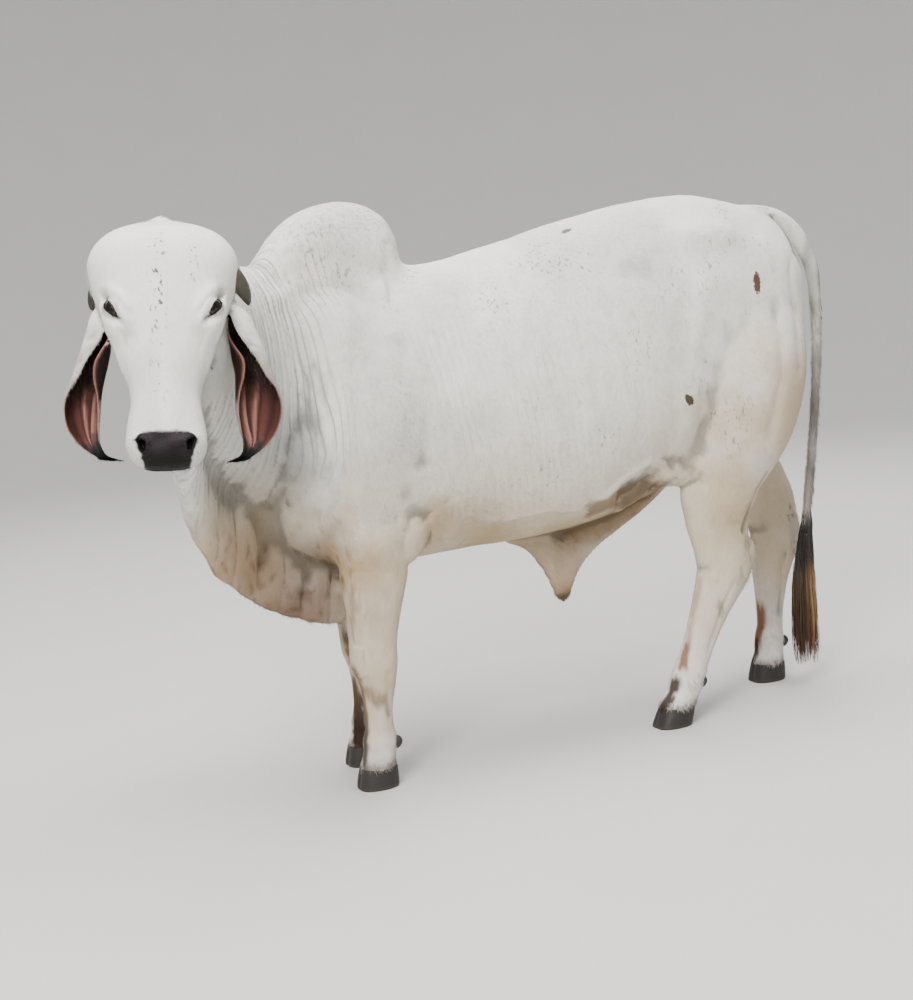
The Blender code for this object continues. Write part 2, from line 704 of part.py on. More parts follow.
def ear(name, stations, side):
    """Rolled leaf: an arc at each station, opened from a tube at the root to a cup, as a thin shell."""
    across = head_axes()[1] * side
    facing = Vector((-math.sin(HEAD_YAW), -math.cos(HEAD_YAW), 0))
    hang = facing.cross(head_axes()[1]).normalized()
    hang = hang if hang.z < 0 else -hang
    root = head_point(EAR_ROOT[0], side * EAR_ROOT[1], EAR_ROOT[2])
    rows = smooth_stations(stations, 2)
    count = 10
    layers = []
    for inset in (0.0, 1.0):
        for out, down, half, depth, first, last in rows:
            turn = np.radians(np.linspace(first, last, count))
            wall = inset * min(EAR_THICKNESS, half * 0.6, depth * 0.6)
            flat = np.outer(out + (half - wall) * np.cos(turn), across)
            deep = np.outer((depth - wall) * np.sin(turn), facing)
            layers.append(np.array(root + hang * down) + flat + deep)
    points = np.vstack(layers)
    long = len(rows)
    half_way = long * count

    def corner(i, j, inner):
        return inner * half_way + i * count + j

    faces = []
    for i in range(long - 1):
        for j in range(count - 1):
            for inner in (0, 1):
                faces.append((corner(i, j, inner), corner(i, j + 1, inner),
                              corner(i + 1, j + 1, inner), corner(i + 1, j, inner)))
        for j in (0, count - 1):
            faces.append((corner(i, j, 0), corner(i + 1, j, 0), corner(i + 1, j, 1), corner(i, j, 1)))
    for j in range(count - 1):
        for i in (0, long - 1):
            faces.append((corner(i, j, 0), corner(i, j + 1, 0), corner(i, j + 1, 1), corner(i, j, 1)))
    return object_from(name, points, faces)


def horn(name, side):
    stations = HORN_LEFT if side > 0 else HORN_RIGHT
    path = [(*head_point(u, side * v, w), size, size) for u, v, w, size in stations]
    return limb(name, path, ahead=tuple(head_axes()[2]), steps=2, count=12)


def swollen(obj):
    """Copy of the object, grown by the gap."""
    twin = copy_of(obj, "swollen")
    step = twin.modifiers.new("displace", "DISPLACE")
    step.strength = GAP
    step.mid_level = 0
    return baked(twin)


def claw(name, x, y, reach, side):
    """Half of a cloven hoof: flat sole, straight inner wall, pointed toe."""
    levels = [(0.0, 0.97, 0.95), (0.007, 1.0, 1.0), (0.030, 0.97, 0.985), (CORONET - GAP, 0.90, 0.93)]
    rings = []
    for z, long, wide in levels:
        lean = (reach - 0.046) * (1 - z / CORONET)
        turn = np.linspace(0, math.pi, 11)
        half = CLAW_LENGTH / 2 * long
        along = x - lean - half * np.cos(turn)
        outer = CLAW_GAP / 2 + CLAW_WIDTH * wide * np.sin(turn) ** 0.62
        inner_along = x - lean + half * np.array([0.5, 0.0, -0.5])
        xs = np.concatenate([along, inner_along])
        ys = y + side * np.concatenate([outer, np.full(3, CLAW_GAP / 2)])
        rings.append(np.column_stack([xs, ys, np.full(len(xs), z)]))
    return lofted(name, rings)


def dewclaws(leg, name, x, y):
    """Two blunt studs behind the pastern, each in its own hollow."""
    for side, word in ((-1, "near"), (1, "off")):
        place = (x, y + side * 0.018, 0.108)
        size = (0.014, 0.011, 0.017)
        grown = tuple(value + GAP for value in size)
        blob(name + "_dewclaw_" + word, place, size, segments=9)
        combined(leg, blob("hollow", place, grown, segments=9), "DIFFERENCE")


def leg_pieces(body, name, top, joint, front, rear, inside):
    """Upper and lower leg, claws and dewclaws. Top and joint are planes facing up."""
    x, y, reach, stud = FEET[name]
    side = math.copysign(1, y)
    inner = ((0, side * inside, 0), (0, -side, 0))
    whole = split_off(body, name + "_upper", [top, inner, front, ((rear, 0, 0), (1, 0, 0))])
    lower = split_off(whole, name + "_lower", [joint])
    largest_only(whole)
    combined(lower, region([((0, 0, CORONET), (0, 0, 1))], 0), "DIFFERENCE")
    dewclaws(lower, name, stud, y)
    for way, word in ((-1, "near"), (1, "off")):
        claw(f"{name}_claw_{word}", x, y, reach, way)


def all_nodes(flesh):
    planes = head_planes()
    head = combined(copy_of(flesh, "head"), region(planes, 0.006), "INTERSECT")
    head = decimated(largest_only(head), HEAD_TRIANGLES)
    head = largest_only(combined(head, region(planes, -GAP / 2), "INTERSECT"))
    torso = decimated(flesh, BODY_TRIANGLES)
    torso.name = "torso"
    combined(torso, region(planes, GAP / 2), "DIFFERENCE")
    largest_only(torso)
    eye_sockets(head)
    for side in (1, -1):
        pressed(head, NOSTRIL, side)
        pressed(head, MOUTH, side)
    largest_only(head)
    for side, word in ((1, "left"), (-1, "right")):
        eyeball("eye_" + word, side)
        horn_node = horn("horn_" + word, side)
        largest_only(combined(horn_node, swollen(head), "DIFFERENCE"))
        stations = EAR_LEFT if side > 0 else EAR_RIGHT
        ear_node = ear("ear_" + word, stations, side)
        combined(ear_node, swollen(head), "DIFFERENCE")
        largest_only(combined(ear_node, swollen(horn_node), "DIFFERENCE"))
    for side, word, fore, hind in ((-1, "left", -0.535, 0.46), (1, "right", -0.485, 0.73)):
        leg_pieces(torso, "foreleg_" + word, ((fore, side * 0.11, 0.550), (0, side * -0.45, 1)),
                   ((fore, 0, 0.325), (0, 0, 1)), ((fore - 0.135, 0, 0.55), (-1, 0, 0)),
                   fore + 0.130, 0.050)
        leg_pieces(torso, "hindleg_" + word, ((hind, side * 0.12, 0.755), (0, side * -0.5, 1)),
                   ((hind, 0, 0.40), (-0.25, 0, 1)), ((hind * 0.62 + 0.035, 0, 0.64), (-1, 0, 0.5)),
                   hind + 0.30, 0.042)
    split_off(torso, "dewlap", [((-0.96, 0, 0.93), (0.825, 0, 1)), ((-0.672, 0, 0), (1, 0, 0))])
    split_off(torso, "neck", [((-0.735, 0, 1.0), (1, 0, 0))])
    split_off(torso, "hump", [((0, 0, 1.286), (0, 0, -1)), ((-0.34, 0, 0), (1, 0, 0))])
    split_off(torso, "sheath", [((-0.1, 0, 0.523), (-0.13, 0, 1)), ((0, 0.055, 0), (0, 1, 0)),
                                ((0, -0.055, 0), (0, -1, 0)), ((-0.13, 0, 0), (-1, 0, 0)),
                                ((0.35, 0, 0), (1, 0, 0))])
    split_off(torso, "scrotum", [((0.5, 0, 0.625), (0, 0, 1)), ((0, 0.08, 0), (0, 1, 0)),
                                 ((0, -0.08, 0), (0, -1, 0)), ((0.42, 0, 0), (-1, 0, 0)),
                                 ((0.56, 0, 0), (1, 0, 0))])
    split_off(torso, "tail_upper", [((0.832, 0, 1.2), (-1, 0, -0.25)), ((0, 0, 0.9), (0, 0, -1)),
                                    ((0, 0.06, 0), (0, 1, 0)), ((0, -0.06, 0), (0, -1, 0))])
    largest_only(torso)
    tail = limb("tail_lower", TAIL[6:], steps=2, count=12)
    combined(tail, region([((0, 0, 1.0 - GAP), (0, 0, -1))], 0), "DIFFERENCE")
    split_off(tail, "tail_middle", [((0, 0, 0.66), (0, 0, -1))])
    tail_switch(tail)


def switch_lock(angle, start, end, share, sway):
    """Flat tapered lock: rooted in the core, out to its place in the brush, in again at the tip."""
    x_line, z_line, reach_line = np.array(SWITCH).T
    t = np.linspace(0, 1, LOCK_ROWS)
    z = start + (end - start) * t
    middle = np.interp(-z, -z_line, x_line)
    reach = np.interp(-z, -z_line, reach_line) * share * (0.35 + 0.65 * np.minimum(t / 0.3, 1))
    reach[-1] *= 0.86
    turn = angle + sway * np.sin(t * 3.4) + sway * 0.8 * t
    outward = np.column_stack([np.cos(turn), np.sin(turn), 0 * turn])
    across = np.column_stack([-np.sin(turn), np.cos(turn), 0 * turn])
    path = np.column_stack([middle, 0 * z, z]) + outward * reach[:, None]
    rings = []
    for place, out, side, wide, deep in zip(path, outward, across, LOCK_WIDTHS, LOCK_DEPTHS):
        rings.append(np.array([place + side * wide / 2, place + out * deep / 2,
                               place - side * wide / 2, place - out * deep / 2]))
    return lofted("lock", rings)


def tail_switch(tail):
    """Locks all round a short core, united in one body."""
    brush = limb("tail_switch", [
        (0.807, 0, 0.43, 0.013, 0.013), (0.802, 0, 0.37, 0.017, 0.016),
        (0.797, 0, 0.30, 0.017, 0.015), (0.793, 0, 0.24, 0.006, 0.005)], steps=2, count=10)
    locks = bpy.data.collections.new("locks")
    bpy.context.scene.collection.children.link(locks)
    rng = np.random.default_rng(5)
    for number in range(SWITCH_LOCKS):
        ring = number % 2
        angle = number * 2.39996
        start = 0.405 - 0.075 * rng.random() - 0.02 * ring
        end = 0.058 + 0.055 * rng.random() + 0.03 * ring
        share = (0.96, 0.60)[ring] + 0.06 * rng.random()
        lock = switch_lock(angle, start, end, share, rng.uniform(-0.30, 0.30))
        bpy.context.scene.collection.objects.unlink(lock)
        locks.objects.link(lock)
    step = brush.modifiers.new("union", "BOOLEAN")
    step.operation = "UNION"
    step.operand_type = "COLLECTION"
    step.solver = "EXACT"
    step.collection = locks
    baked(brush)
    for lock in list(locks.objects):
        removed(lock)
    bpy.data.collections.remove(locks)
    combined(tail, region([((0, 0, 0.42 + GAP), (0, 0, 1))], 0), "DIFFERENCE")
    largest_only(combined(brush, region([((0, 0, 0.42), (0, 0, -1))], 0), "DIFFERENCE"))


def painted():
    """A material for each node, from the words in its name."""
    looks = {
        "hide": ((0.80, 0.78, 0.73, 1), 0.75, ("",)),
        "skin": ((0.42, 0.30, 0.27, 1), 0.65, ("ear",)),
        "horn": ((0.16, 0.14, 0.10, 1), 0.50, ("horn_", "claw")),
        "eye": ((0.010, 0.008, 0.007, 1), 0.08, ("eye_",)),
        "switch": ((0.09, 0.05, 0.03, 1), 0.80, ("tail_switch",)),
    }
    for obj in bpy.data.objects:
        kind = next((k for k, look in reversed(looks.items()) if any(w in obj.name for w in look[2])), "hide")
        colour, rough, _ = looks[kind]
        material = bpy.data.materials.new(f"{obj.name} {kind}")
        material.use_nodes = True
        shader = material.node_tree.nodes["Principled BSDF"]
        shader.inputs["Base Color"].default_value = colour
        shader.inputs["Roughness"].default_value = rough
        shader.inputs["Metallic"].default_value = 0.0
        obj.data.materials.clear()
        obj.data.materials.append(material)
        obj.data.polygons.foreach_set("use_smooth", [True] * len(obj.data.polygons))
        obj.data.transform(Matrix.Translation(SHIFT))


def main():
    clear_scene()
    trunk = fused(trunk_forms(), "trunk", TRUNK_VOXEL, TRUNK_SMOOTHING)
    forms = [trunk] + head_forms() + limb_forms()
    all_nodes(fused(forms, "flesh", FLESH_VOXEL, FLESH_SMOOTHING))
    painted()


main()
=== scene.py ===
import math

import bmesh
import bpy
import numpy as np
from mathutils import Matrix, Vector
from mathutils.bvhtree import BVHTree
from mathutils.kdtree import KDTree


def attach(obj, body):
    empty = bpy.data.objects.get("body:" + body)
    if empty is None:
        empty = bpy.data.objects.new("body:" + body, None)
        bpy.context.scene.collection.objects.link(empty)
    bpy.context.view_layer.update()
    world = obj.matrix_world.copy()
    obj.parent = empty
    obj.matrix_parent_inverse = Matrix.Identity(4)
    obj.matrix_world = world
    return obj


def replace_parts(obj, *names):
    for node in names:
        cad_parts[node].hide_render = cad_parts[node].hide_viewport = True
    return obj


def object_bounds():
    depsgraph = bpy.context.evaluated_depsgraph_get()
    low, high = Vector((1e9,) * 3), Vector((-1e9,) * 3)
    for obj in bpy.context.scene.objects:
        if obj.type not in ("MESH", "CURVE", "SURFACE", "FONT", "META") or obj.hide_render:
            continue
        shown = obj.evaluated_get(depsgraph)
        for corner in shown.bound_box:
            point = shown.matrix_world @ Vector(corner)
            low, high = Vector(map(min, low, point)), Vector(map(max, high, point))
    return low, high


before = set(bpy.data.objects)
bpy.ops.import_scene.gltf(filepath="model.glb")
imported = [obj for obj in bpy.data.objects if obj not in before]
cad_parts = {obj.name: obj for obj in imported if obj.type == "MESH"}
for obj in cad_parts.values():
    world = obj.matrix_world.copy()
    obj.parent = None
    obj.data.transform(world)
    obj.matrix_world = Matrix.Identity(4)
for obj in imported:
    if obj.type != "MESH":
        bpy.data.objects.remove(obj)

# A young white Gyr bull as a life-size museum model.
# The bull faces -X with its left side at -Y. Forms are worked out in body places, then moved by bodyShift.
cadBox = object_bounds()
scene = bpy.context.scene
bodyShift = np.array([0.1763, 0.1208, 0.0])
boxLow, boxHigh = (np.array(corner) - bodyShift for corner in cadBox)
boxMargin = 0.0004


# Photo's camera: where it stands, how it is turned in degrees, and its focal length in pixels
photoCamera = {"place": (-1.967, -4.018, 1.249), "yaw": 23.171, "down": 7.595, "roll": -4.991,
               "focal": 1720.8, "frameHeight": 1000, "sensor": 36.0}


def makeCamera():
    # The photo's camera: right = level cos r + upright sin r and up = upright cos r - level sin r
    yaw, down, roll = (math.radians(photoCamera[k]) for k in ("yaw", "down", "roll"))
    ahead = Vector((math.sin(yaw) * math.cos(down), math.cos(yaw) * math.cos(down), -math.sin(down)))
    level = Vector((math.cos(yaw), -math.sin(yaw), 0))
    upright = level.cross(ahead)
    right = level * math.cos(roll) + upright * math.sin(roll)
    up = upright * math.cos(roll) - level * math.sin(roll)
    data = bpy.data.cameras.new("photoCamera")
    data.sensor_width = photoCamera["sensor"]
    data.lens = photoCamera["focal"] / photoCamera["frameHeight"] * photoCamera["sensor"]
    data.clip_end = 100
    camera = bpy.data.objects.new("photoCamera", data)
    scene.collection.objects.link(camera)
    turn = Matrix((right, up, -ahead)).transposed().to_4x4()
    camera.matrix_world = Matrix.Translation(Vector(photoCamera["place"]) + Vector(bodyShift)) @ turn
    scene.camera = camera


# Small tools

def linked(name, data):
    # A new object of the data, in the scene
    obj = bpy.data.objects.new(name, data)
    scene.collection.objects.link(obj)
    return obj


def between(first, second, share):
    # From the first to the second by the share: first (1 - share) + second share
    return first * (1 - share) + second * share


def smoothRows(rows, steps):
    # Catmull-Rom curve through the rows, steps points from one row to the next, as whole arrays
    rows = np.array(rows, float)
    padded = np.vstack([2 * rows[0] - rows[1], rows, 2 * rows[-1] - rows[-2]])
    at = np.arange((len(rows) - 1) * steps + 1) / steps
    i = np.minimum(at.astype(int), len(rows) - 2)
    t = (at - i)[:, None]
    a, b, c, d = padded[i], padded[i + 1], padded[i + 2], padded[i + 3]
    return 0.5 * (2 * b + (c - a) * t + (2 * a - 5 * b + 4 * c - d) * t**2 + (3 * b - a - 3 * c + d) * t**3)


def signedPower(value, power):
    # The size of value to the power, with value's own sign
    return np.sign(value) * np.abs(value) ** power


def wholeTurn(count):
    # Angles of count even steps round a circle
    return np.arange(count) * 2 * np.pi / count


def ramp(low, high, value):
    # Smooth step from 0 at low to 1 at high
    t = np.clip((value - low) / (high - low), 0, 1)
    return t * t * (3 - 2 * t)


def unit(v):
    # Each row over its length
    return v / np.maximum(np.linalg.norm(v, axis=-1, keepdims=True), 1e-12)


def gridFaces(rows, around):
    # Quads between neighbours of a grid that closes round its second index
    i, j = np.meshgrid(np.arange(rows - 1), np.arange(around), indexing="ij")
    k = (j + 1) % around
    quads = np.stack([i * around + j, i * around + k, (i + 1) * around + k, (i + 1) * around + j], -1)
    return quads.reshape(-1, 4)


def gridObject(name, grid):
    # Closed tube from a grid of points (rows, around, 3), each end closed by a fan to its middle
    grid = np.asarray(grid, float)
    rows, around = grid.shape[:2]
    points = np.vstack([grid.reshape(-1, 3), grid[0].mean(0), grid[-1].mean(0)])
    quads = gridFaces(rows, around)
    j = np.arange(around)
    k = (j + 1) % around
    first = np.stack([np.full(around, rows * around), k, j], 1)
    last = np.stack([np.full(around, rows * around + 1), (rows - 1) * around + j, (rows - 1) * around + k], 1)
    mesh = bpy.data.meshes.new(name)
    mesh.from_pydata(points.tolist(), [], quads.tolist() + first.tolist() + last.tolist())
    body = bmesh.new()
    body.from_mesh(mesh)
    bmesh.ops.recalc_face_normals(body, faces=body.faces)
    body.to_mesh(mesh)
    body.free()
    return linked(name, mesh)


def getPoints(obj):
    # Places of all corners, in rows of x, y and z
    flat = np.empty(len(obj.data.vertices) * 3, np.float32)
    obj.data.vertices.foreach_get("co", flat)
    return flat.reshape(-1, 3).astype(float)


def placeTree(places):
    # Search tree that finds the nearest of the places
    tree = KDTree(len(places))
    for k, place in enumerate(places):
        tree.insert(place, k)
    tree.balance()
    return tree


def drawnIn(points):
    # Points past the sides of the solids' box are drawn back to a tenth of that way: p - 0.9 max(p - side, 0)
    past = np.maximum(points - boxHigh + boxMargin, 0)
    short = np.maximum(boxLow + boxMargin - points, 0)
    return points - 0.9 * past + 0.9 * short


def setPoints(obj, points):
    # Moves all corners to the rows given
    obj.data.vertices.foreach_set("co", points.astype(np.float32).ravel())
    obj.data.update()


def getNormals(obj):
    # Normals of all corners, in rows
    flat = np.empty(len(obj.data.vertices) * 3, np.float32)
    obj.data.vertex_normals.foreach_get("vector", flat)
    return flat.reshape(-1, 3).astype(float)


def applied(obj):
    # The mesh as its modifiers leave it
    graph = bpy.context.evaluated_depsgraph_get()
    mesh = bpy.data.meshes.new_from_object(obj.evaluated_get(graph))
    obj.modifiers.clear()
    obj.data = mesh
    return obj


def selectOnly(objects):
    # The objects are selected and the first is active
    bpy.ops.object.select_all(action="DESELECT")
    for obj in objects:
        obj.select_set(True)
    bpy.context.view_layer.objects.active = objects[0]


def joinPieces(objects, name):
    # Joins the objects into the first
    selectOnly(objects)
    bpy.ops.object.join()
    objects[0].name = name
    return objects[0]


def edgeEnds(obj):
    # Both ends of every edge, and the end opposite each
    ends = np.empty(len(obj.data.edges) * 2, np.int32)
    obj.data.edges.foreach_get("vertices", ends)
    a, b = ends.reshape(-1, 2).T
    return np.r_[a, b], np.r_[b, a]


def neighbourMean(points, ends, others):
    # Mean of each point's neighbours along the edges
    count = np.maximum(np.bincount(ends, minlength=len(points)), 1)[:, None]
    return np.stack([np.bincount(ends, points[others, k], len(points)) for k in range(3)], 1) / count


def triangleRows(mesh, what):
    # The three corners of every triangle, as vertices or as loops
    flat = np.empty(len(mesh.loop_triangles) * 3, np.int32)
    mesh.loop_triangles.foreach_get(what, flat)
    return flat.reshape(-1, 3)


def fused(forms, name, voxel, rounds):
    # Forms made one body by a voxel remesh, then smoothed
    obj = joinPieces(forms, name)
    remesh = obj.modifiers.new("remesh", "REMESH")
    remesh.mode = "VOXEL"
    remesh.voxel_size = voxel
    smooth = obj.modifiers.new("smooth", "SMOOTH")
    smooth.factor = 0.5
    smooth.iterations = rounds
    return applied(obj)


def lattice(points, size, seed):
    # Value noise from -1 to 1: hashed numbers at the corners of a lattice, blended smoothly between them
    at = points / size + 1000.0
    cell = np.floor(at).astype(np.int64)
    t = at - cell
    t = t * t * (3 - 2 * t)
    total = 0
    for corner in range(8):
        step = np.array([corner & 1, corner >> 1 & 1, corner >> 2 & 1])
        c = cell + step
        mixed = (c[:, 0] * 73856093) ^ (c[:, 1] * 19349663) ^ (c[:, 2] * 83492791) ^ (seed * 2654435761)
        mixed = (mixed * 1103515245 + 12345) & 0x7FFFFFFF
        mixed = ((mixed ^ (mixed >> 13)) * 1274126177) & 0x7FFFFFFF
        share = np.prod(np.where(step == 1, t, 1 - t), axis=1)
        total = total + share * (mixed / 0x3FFFFFFF - 1)
    return total


def lineDistance(points, line):
    # Shortest distance to a polyline, and how far along it from 0 to 1, for points and line of any dimension
    line = np.asarray(line, float)
    best = np.full(len(points), 1e9)
    along = np.zeros(len(points))
    for k in range(len(line) - 1):
        a, b = line[k], line[k + 1]
        way = b - a
        t = np.clip((points - a) @ way / (way @ way), 0, 1)
        away = np.linalg.norm(points - a - t[:, None] * way, axis=1)
        nearer = away < best
        best = np.where(nearer, away, best)
        along = np.where(nearer, (k + t) / (len(line) - 1), along)
    return best, along


# Body forms. The far foreleg stands foreFarShift behind the near one
ringPoints = 32
foreFarShift = 0.050
# Torso and hump: x, top, widest height, bottom, half width, and the powers of the upper and lower half
torsoRows = [
    (-0.77, 1.10, 0.88, 0.68, 0.08, 0.9, 0.9),
    (-0.71, 1.21, 0.88, 0.60, 0.145, 0.95, 0.85),
    (-0.60, 1.258, 0.87, 0.55, 0.195, 1.05, 0.85),
    (-0.48, 1.272, 0.86, 0.536, 0.214, 1.1, 0.85),
    (-0.36, 1.274, 0.86, 0.537, 0.220, 1.1, 0.85),
    (-0.24, 1.280, 0.86, 0.541, 0.230, 1.05, 0.9),
    (-0.10, 1.307, 0.86, 0.542, 0.242, 1.0, 0.9),
    (0.06, 1.347, 0.87, 0.552, 0.250, 1.0, 0.9),
    (0.20, 1.372, 0.89, 0.578, 0.244, 1.0, 0.95),
    (0.34, 1.390, 0.95, 0.622, 0.224, 0.95, 1.0),
    (0.48, 1.397, 1.03, 0.670, 0.206, 0.9, 1.0),
    (0.60, 1.371, 1.05, 0.710, 0.188, 0.9, 1.0),
    (0.70, 1.345, 1.06, 0.760, 0.158, 0.9, 1.0),
    (0.77, 1.292, 1.08, 0.860, 0.118, 0.9, 1.0),
    (0.80, 1.220, 1.08, 0.960, 0.06, 1.0, 1.0),
]

humpRows = [
    (-0.79, 1.270, 1.20, 1.10, 0.035, 1.0, 1.0),
    (-0.735, 1.305, 1.22, 1.08, 0.066, 1.0, 1.0),
    (-0.68, 1.373, 1.24, 1.08, 0.084, 0.95, 1.0),
    (-0.62, 1.414, 1.26, 1.08, 0.096, 0.9, 1.0),
    (-0.55, 1.436, 1.27, 1.08, 0.102, 0.85, 1.0),
    (-0.49, 1.440, 1.28, 1.08, 0.102, 0.85, 1.0),
    (-0.43, 1.427, 1.29, 1.10, 0.092, 0.85, 1.0),
    (-0.385, 1.396, 1.30, 1.14, 0.072, 0.9, 1.0),
    (-0.358, 1.352, 1.30, 1.22, 0.040, 1.0, 1.0),
]

# Neck, dewlap and sheath: x, y, top, bottom and half width
neckRows = [
    (-0.48, 0.0, 1.26, 0.60, 0.150),
    (-0.62, -0.003, 1.275, 0.62, 0.148),
    (-0.74, -0.025, 1.30, 0.68, 0.140),
    (-0.84, -0.080, 1.325, 0.76, 0.130),
    (-0.915, -0.155, 1.350, 0.86, 0.122),
    (-0.960, -0.235, 1.365, 0.95, 0.112),
    (-0.980, -0.300, 1.34, 1.03, 0.086),
]

dewlapRows = [
    (-1.012, -0.345, 1.08, 0.895, 0.022),
    (-1.005, -0.27, 1.10, 0.838, 0.034),
    (-0.992, -0.20, 1.10, 0.766, 0.040),
    (-0.970, -0.14, 1.10, 0.686, 0.042),
    (-0.938, -0.095, 1.08, 0.606, 0.042),
    (-0.883, -0.055, 1.04, 0.535, 0.041),
    (-0.810, -0.020, 0.96, 0.474, 0.040),
    (-0.73, -0.005, 0.90, 0.428, 0.039),
    (-0.65, 0.0, 0.84, 0.396, 0.038),
    (-0.58, 0.0, 0.76, 0.390, 0.036),
    (-0.53, 0.0, 0.70, 0.430, 0.036),
    (-0.47, 0.0, 0.65, 0.500, 0.036),
]

sheathRows = [
    (-0.12, 0.0, 0.62, 0.536, 0.020),
    (-0.06, 0.0, 0.62, 0.505, 0.034),
    (-0.015, 0.0, 0.62, 0.440, 0.034),
    (0.018, 0.0, 0.62, 0.366, 0.029),
    (0.050, 0.0, 0.62, 0.366, 0.027),
    (0.085, 0.0, 0.62, 0.430, 0.027),
    (0.14, 0.0, 0.63, 0.482, 0.030),
    (0.22, 0.0, 0.65, 0.527, 0.036),
    (0.31, 0.0, 0.70, 0.580, 0.042),
    (0.39, 0.0, 0.72, 0.640, 0.040),
]

# Legs, tail and scrotum: x, y, z, and the half sizes ahead and across
foreNearRows = [
    (-0.52, -0.085, 1.17, 0.07, 0.045),
    (-0.53, -0.115, 1.03, 0.125, 0.075),
    (-0.545, -0.130, 0.87, 0.140, 0.086),
    (-0.540, -0.132, 0.72, 0.130, 0.082),
    (-0.532, -0.125, 0.61, 0.106, 0.072),
    (-0.535, -0.120, 0.53, 0.087, 0.062),
    (-0.545, -0.115, 0.43, 0.071, 0.053),
    (-0.550, -0.112, 0.36, 0.062, 0.050),
    (-0.550, -0.110, 0.305, 0.060, 0.051),
    (-0.548, -0.110, 0.26, 0.049, 0.045),
    (-0.552, -0.110, 0.20, 0.038, 0.034),
    (-0.554, -0.110, 0.15, 0.038, 0.034),
    (-0.556, -0.110, 0.115, 0.046, 0.041),
    (-0.561, -0.110, 0.08, 0.043, 0.041),
    (-0.566, -0.110, 0.05, 0.046, 0.045),
    (-0.570, -0.110, 0.03, 0.046, 0.045),
]

hindNearRows = [
    (0.58, -0.070, 1.20, 0.12, 0.05),
    (0.565, -0.100, 1.06, 0.195, 0.094),
    (0.553, -0.116, 0.93, 0.202, 0.110),
    (0.525, -0.124, 0.81, 0.186, 0.102),
    (0.485, -0.128, 0.70, 0.152, 0.086),
    (0.460, -0.125, 0.61, 0.119, 0.068),
    (0.452, -0.12, 0.53, 0.098, 0.054),
    (0.458, -0.12, 0.46, 0.084, 0.048),
    (0.462, -0.12, 0.40, 0.083, 0.048),
    (0.425, -0.12, 0.325, 0.066, 0.042),
    (0.382, -0.12, 0.24, 0.050, 0.035),
    (0.350, -0.12, 0.17, 0.045, 0.034),
    (0.325, -0.12, 0.12, 0.050, 0.040),
    (0.305, -0.12, 0.08, 0.045, 0.041),
    (0.288, -0.12, 0.05, 0.047, 0.045),
    (0.278, -0.12, 0.03, 0.046, 0.045),
]

hindFarRows = [
    (0.58, 0.070, 1.20, 0.12, 0.05),
    (0.570, 0.100, 1.06, 0.185, 0.094),
    (0.572, 0.116, 0.93, 0.190, 0.110),
    (0.590, 0.124, 0.81, 0.166, 0.102),
    (0.645, 0.128, 0.70, 0.138, 0.086),
    (0.705, 0.125, 0.61, 0.112, 0.068),
    (0.758, 0.12, 0.53, 0.094, 0.054),
    (0.784, 0.12, 0.46, 0.081, 0.048),
    (0.786, 0.12, 0.40, 0.078, 0.048),
    (0.768, 0.12, 0.325, 0.062, 0.042),
    (0.757, 0.12, 0.24, 0.047, 0.035),
    (0.752, 0.12, 0.17, 0.042, 0.034),
    (0.748, 0.12, 0.12, 0.048, 0.040),
    (0.742, 0.12, 0.08, 0.044, 0.041),
    (0.737, 0.12, 0.05, 0.046, 0.045),
    (0.733, 0.12, 0.03, 0.046, 0.045),
]

tailRows = [
    (0.64, 0.0, 1.330, 0.030, 0.030),
    (0.73, 0.0, 1.322, 0.030, 0.030),
    (0.795, 0.0, 1.300, 0.028, 0.028),
    (0.848, 0.0, 1.250, 0.025, 0.025),
    (0.878, 0.0, 1.185, 0.022, 0.022),
    (0.888, 0.0, 1.120, 0.019, 0.019),
    (0.888, 0.0, 1.000, 0.0165, 0.0165),
    (0.872, 0.0, 0.830, 0.0145, 0.0145),
    (0.848, 0.0, 0.660, 0.0130, 0.0130),
    (0.824, 0.0, 0.520, 0.0120, 0.0120),
    (0.806, 0.0, 0.420, 0.0110, 0.0110),
    (0.796, 0.0, 0.340, 0.0090, 0.0090),
    (0.788, 0.0, 0.270, 0.0060, 0.0060),
]

scrotumRows = [
    (0.475, 0.0, 0.72, 0.030, 0.030),
    (0.480, 0.0, 0.66, 0.030, 0.034),
    (0.485, 0.0, 0.61, 0.036, 0.044),
    (0.488, 0.0, 0.56, 0.042, 0.052),
    (0.488, 0.0, 0.52, 0.038, 0.048),
    (0.486, 0.0, 0.49, 0.022, 0.028),
]

# Masses: centre, half sizes, and the turn about x, y and z in degrees. Those of bodyMasses have a twin
bodyMasses = [
    ((-0.54, -0.095, 1.00), (0.140, 0.095, 0.240), (0, -14, 0)),
    ((-0.660, -0.095, 0.84), (0.090, 0.085, 0.150), (0, 0, 0)),
    ((0.460, -0.127, 1.268), (0.130, 0.052, 0.056), (0, 6, 0)),
    ((0.765, -0.070, 1.150), (0.036, 0.040, 0.070), (0, 0, 0)),
    ((0.660, -0.085, 0.99), (0.110, 0.090, 0.190), (0, 6, 0)),
    ((0.600, -0.080, 1.180), (0.180, 0.092, 0.130), (0, 14, 0)),
    ((0.360, -0.110, 0.750), (0.070, 0.075, 0.130), (0, 20, 0)),
]

sharpMasses = [
    ((-0.445, -0.138, 0.640), (0.060, 0.050, 0.095), (0, 12, 0)),
    ((-0.445 + foreFarShift, 0.138, 0.640), (0.060, 0.050, 0.095), (0, 12, 0)),
    ((0.530, -0.12, 0.420), (0.030, 0.026, 0.055), (0, 14, 0)),
    ((0.846, 0.12, 0.430), (0.028, 0.026, 0.055), (0, -2, 0)),
]

